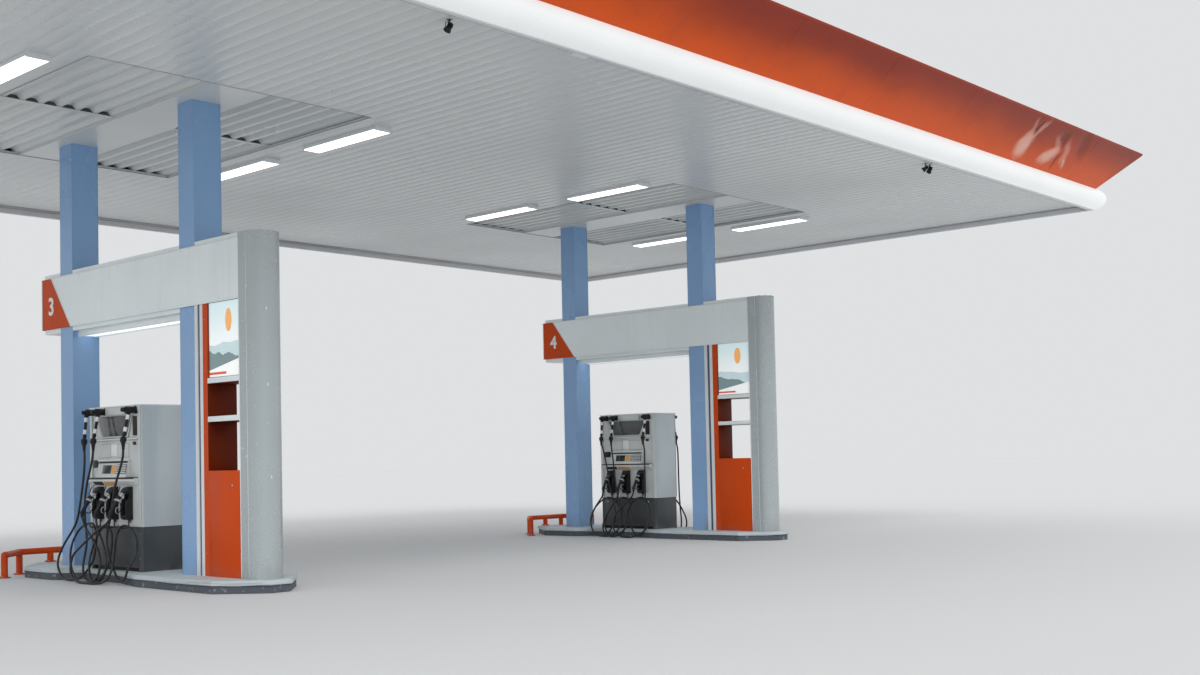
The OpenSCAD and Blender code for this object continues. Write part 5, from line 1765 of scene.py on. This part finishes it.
    def nozzles(self) -> None:
        """Makes the boots, hooks and nozzles in place of the plain ones."""
        boot = Solid("nozzle_boots", Finish.BLACK, FOUR_FACES)
        body = Solid("nozzle_bodies", Finish.BLACK, FOUR_FACES)
        guard = Solid("nozzle_guards", Finish.GREY, FOUR_FACES)
        spout = Solid("nozzle_spouts", Finish.ALLOY, FOUR_FACES)
        hooks = Solid("hose_hooks", Finish.DARK, FOUR_FACES)
        wall = self.inner
        roof = [(0.383, 1.104), (0.374, 1.130), (0.345, 1.160), (0.300, 1.175), (wall, 1.175)]
        side = [(wall, 0.770), (0.352, 0.770), (0.380, 0.796), (0.385, 0.840), (0.385, 0.990), (0.374, 1.008),
                (0.338, 1.022), (0.328, 1.040), (0.328, 1.084), (0.340, 1.098), *roof]
        hood = [(wall, 1.120), (0.300, 1.120), (0.330, 1.132), (0.366, 1.116), *roof]
        tray = [(wall, 0.770), (0.352, 0.770), (0.378, 0.796), (0.383, 0.825), (0.372, 0.812), (0.345, 0.786),
                (wall, 0.782)]
        hook = [(0.309, 0.775), (0.309, 0.69), (0.313, 0.677), (0.325, 0.670), (0.40, 0.6695), (0.425, 0.670),
                (0.437, 0.677), (0.4405, 0.69), (0.4405, 0.712)]
        w = 0.060
        for x in self.boots:
            for s in SIDES:
                edge = x + s * self.boot_half
                boot.prism(side, Axis.X, edge, edge - s * self.boot_wall, 0.0025)
            boot.box((x - w, wall, 0.772), (x + w, 0.294, 1.17), 0.002)
            boot.prism(tray, Axis.X, x - w, x + w, 0.001)
            boot.prism(hood, Axis.X, x - w, x + w, 0.001)
            self.nozzle(x, body, guard, spout)
            hooks.tube([(x, out, z) for out, z in hook], 0.0088, 12)
            hooks.box((x - 0.022, 0.299, 0.735), (x + 0.022, 0.306, 0.772), 0.002)
        boot.ship("nozzles_3", "nozzles_4")
        for solid in (body, guard, spout, hooks):
            solid.ship()

    def nozzle(self, x: float, body: Solid, guard: Solid, spout: Solid) -> None:
        """Makes one nozzle.

        Args:
            x: the boot's place.
            body: the solid of the black parts.
            guard: the solid of the grey parts.
            spout: the solid of the metal parts.
        """
        level, steep = math.sin(self.nozzle_lean), math.cos(self.nozzle_lean)
        lean, cover = Vector((0, -level, steep)), Vector((0, -steep, -level))
        inlet, neck = Vector((x, *self.inlet)), Vector((x, self.inlet[0], self.neck_z))
        shoulder, tip = neck + lean * 0.22, Vector((x, *self.spout_tip))
        way = (tip - shoulder).normalized()
        body.lathe(inlet, neck, [
            (0.0, 0.0165), (0.002, 0.020), (0.014, 0.0215), (0.018, 0.0180), (0.026, 0.0180), (0.030, 0.0215),
            (0.052, 0.0225), (0.060, 0.018)])
        body.lathe(neck - lean * 0.02, shoulder, [
            (0.0, 0.012), (0.006, 0.022), (0.030, 0.0255), (0.090, 0.0225), (0.150, 0.024), (0.190, 0.029),
            (0.225, 0.031), (0.245, 0.026), (0.250, 0.016)])
        body.lathe(shoulder - way * 0.02, tip, [(0.0, 0.020), (0.030, 0.019), (0.034, 0.014)])
        stop = (tip - shoulder).length - 0.02
        spout.lathe(shoulder + way * 0.012, tip, [(0.0, 0.013), (0.004, 0.014), (stop, 0.0115)])
        body.tube([shoulder - lean * 0.075 + cover * 0.010, shoulder - lean * 0.040 + cover * 0.062,
                   shoulder + cover * 0.060, shoulder + lean * 0.012], 0.008, 10)
        centre = neck + lean * 0.105 + cover * 0.052
        loop = []
        for a in (math.tau * k / 24 for k in range(24)):
            r = 1.0 / (abs(math.cos(a)) ** 3 + abs(math.sin(a)) ** 3) ** (1 / 3)
            loop.append(centre + lean * (0.078 * r * math.cos(a)) + cover * (0.046 * r * math.sin(a)))
        body.tube(loop, 0.0065, 10, closed=True)
        splash = shoulder - lean * 0.060 + cover * 0.012
        guard.lathe(splash, splash + lean,
                    [(0.0, 0.034), (0.004, 0.046), (0.012, 0.048), (0.028, 0.040), (0.034, 0.030)])
        guard.tube([(x, 0.443 + 0.036 * math.cos(a), 0.888 + 0.040 * math.sin(a))
                    for a in (math.radians(d) for d in range(-130, 131, 20))], 0.0055, 8)
        latch = shoulder + lean * 0.012 - cover * 0.026
        body.tube([latch, latch + lean * 0.06 - cover * 0.012,
                   latch + lean * 0.105 - cover * 0.030 + Vector((0.02, 0, 0))], 0.0062, 8)

    def build(self, row: Row, screws: Fixings) -> None:
        """Makes every piece of the dispensers.

        Args:
            row: the row tree.
            screws: the small screws.
        """
        self.casing(screws)
        self.display()
        self.console(row)
        self.swivels()
        self.nozzles()


# Solids that stay

CARRIED = {
    "soffit": Finish.SOFFIT, "recess_sheets": Finish.SOFFIT, "girders": Finish.SOFFIT,
    "edge_channel": Finish.ZINC, "roof_deck": Finish.ZINC, "edge_trim": Finish.TRIM,
    "light_bar": Finish.LIT, "fascia": Finish.FASCIA, "fascia_brackets": Finish.ZINC,
    "ceiling_lights": Finish.TUBE, "number_panels": Finish.ORANGE, "header_lamps": Finish.HEADER,
    "poster_boxes": Finish.PRINT, "kerb": Finish.KERB, "crash_rail": Finish.RAIL,
    "column_rear": Finish.BLUE, "column_front": Finish.BLUE, "header": Finish.SILVER, "pylon": Finish.SHELL,
    "cabinet": Finish.ORANGE, "cabinet_frame": Finish.WHITE, "dispenser_case": Finish.CASE,
    "dispenser_base": Finish.BASE, "dispenser_panels": Finish.PANEL,
}


def dress_nodes() -> None:
    """Gives every CAD node that stays its finish; the islands' nodes end in their number."""
    for name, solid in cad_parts.items():
        finish = CARRIED.get(name) or CARRIED.get(name.rsplit("_", 1)[0])
        if finish is None:
            continue
        solid.data.materials.clear()
        solid.data.materials.append(finish.material)
        for face in solid.data.polygons:
            face.material_index = 0
        LOG.info("%s in %s", name, finish.slot)


def main() -> None:
    """Builds the studio, the hoses, the canopy, the islands and the dispensers, in that order."""
    logging.basicConfig(level=logging.INFO, format="%(name)s: %(message)s")
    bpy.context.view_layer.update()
    Studio().build()
    Hoses().build()
    row, heads = Row(), Heads()
    screws, bolts = Fixings("panel_screws", 0.006, 0.004), Fixings("frame_bolts", 0.011, 0.012)
    dress_nodes()
    Canopy().build(row, screws, bolts)
    Islands().build(screws, bolts)
    Dispensers().build(row, screws)
    screws.ship(heads)
    bolts.ship(heads)


if __name__ == "__main__":
    main()
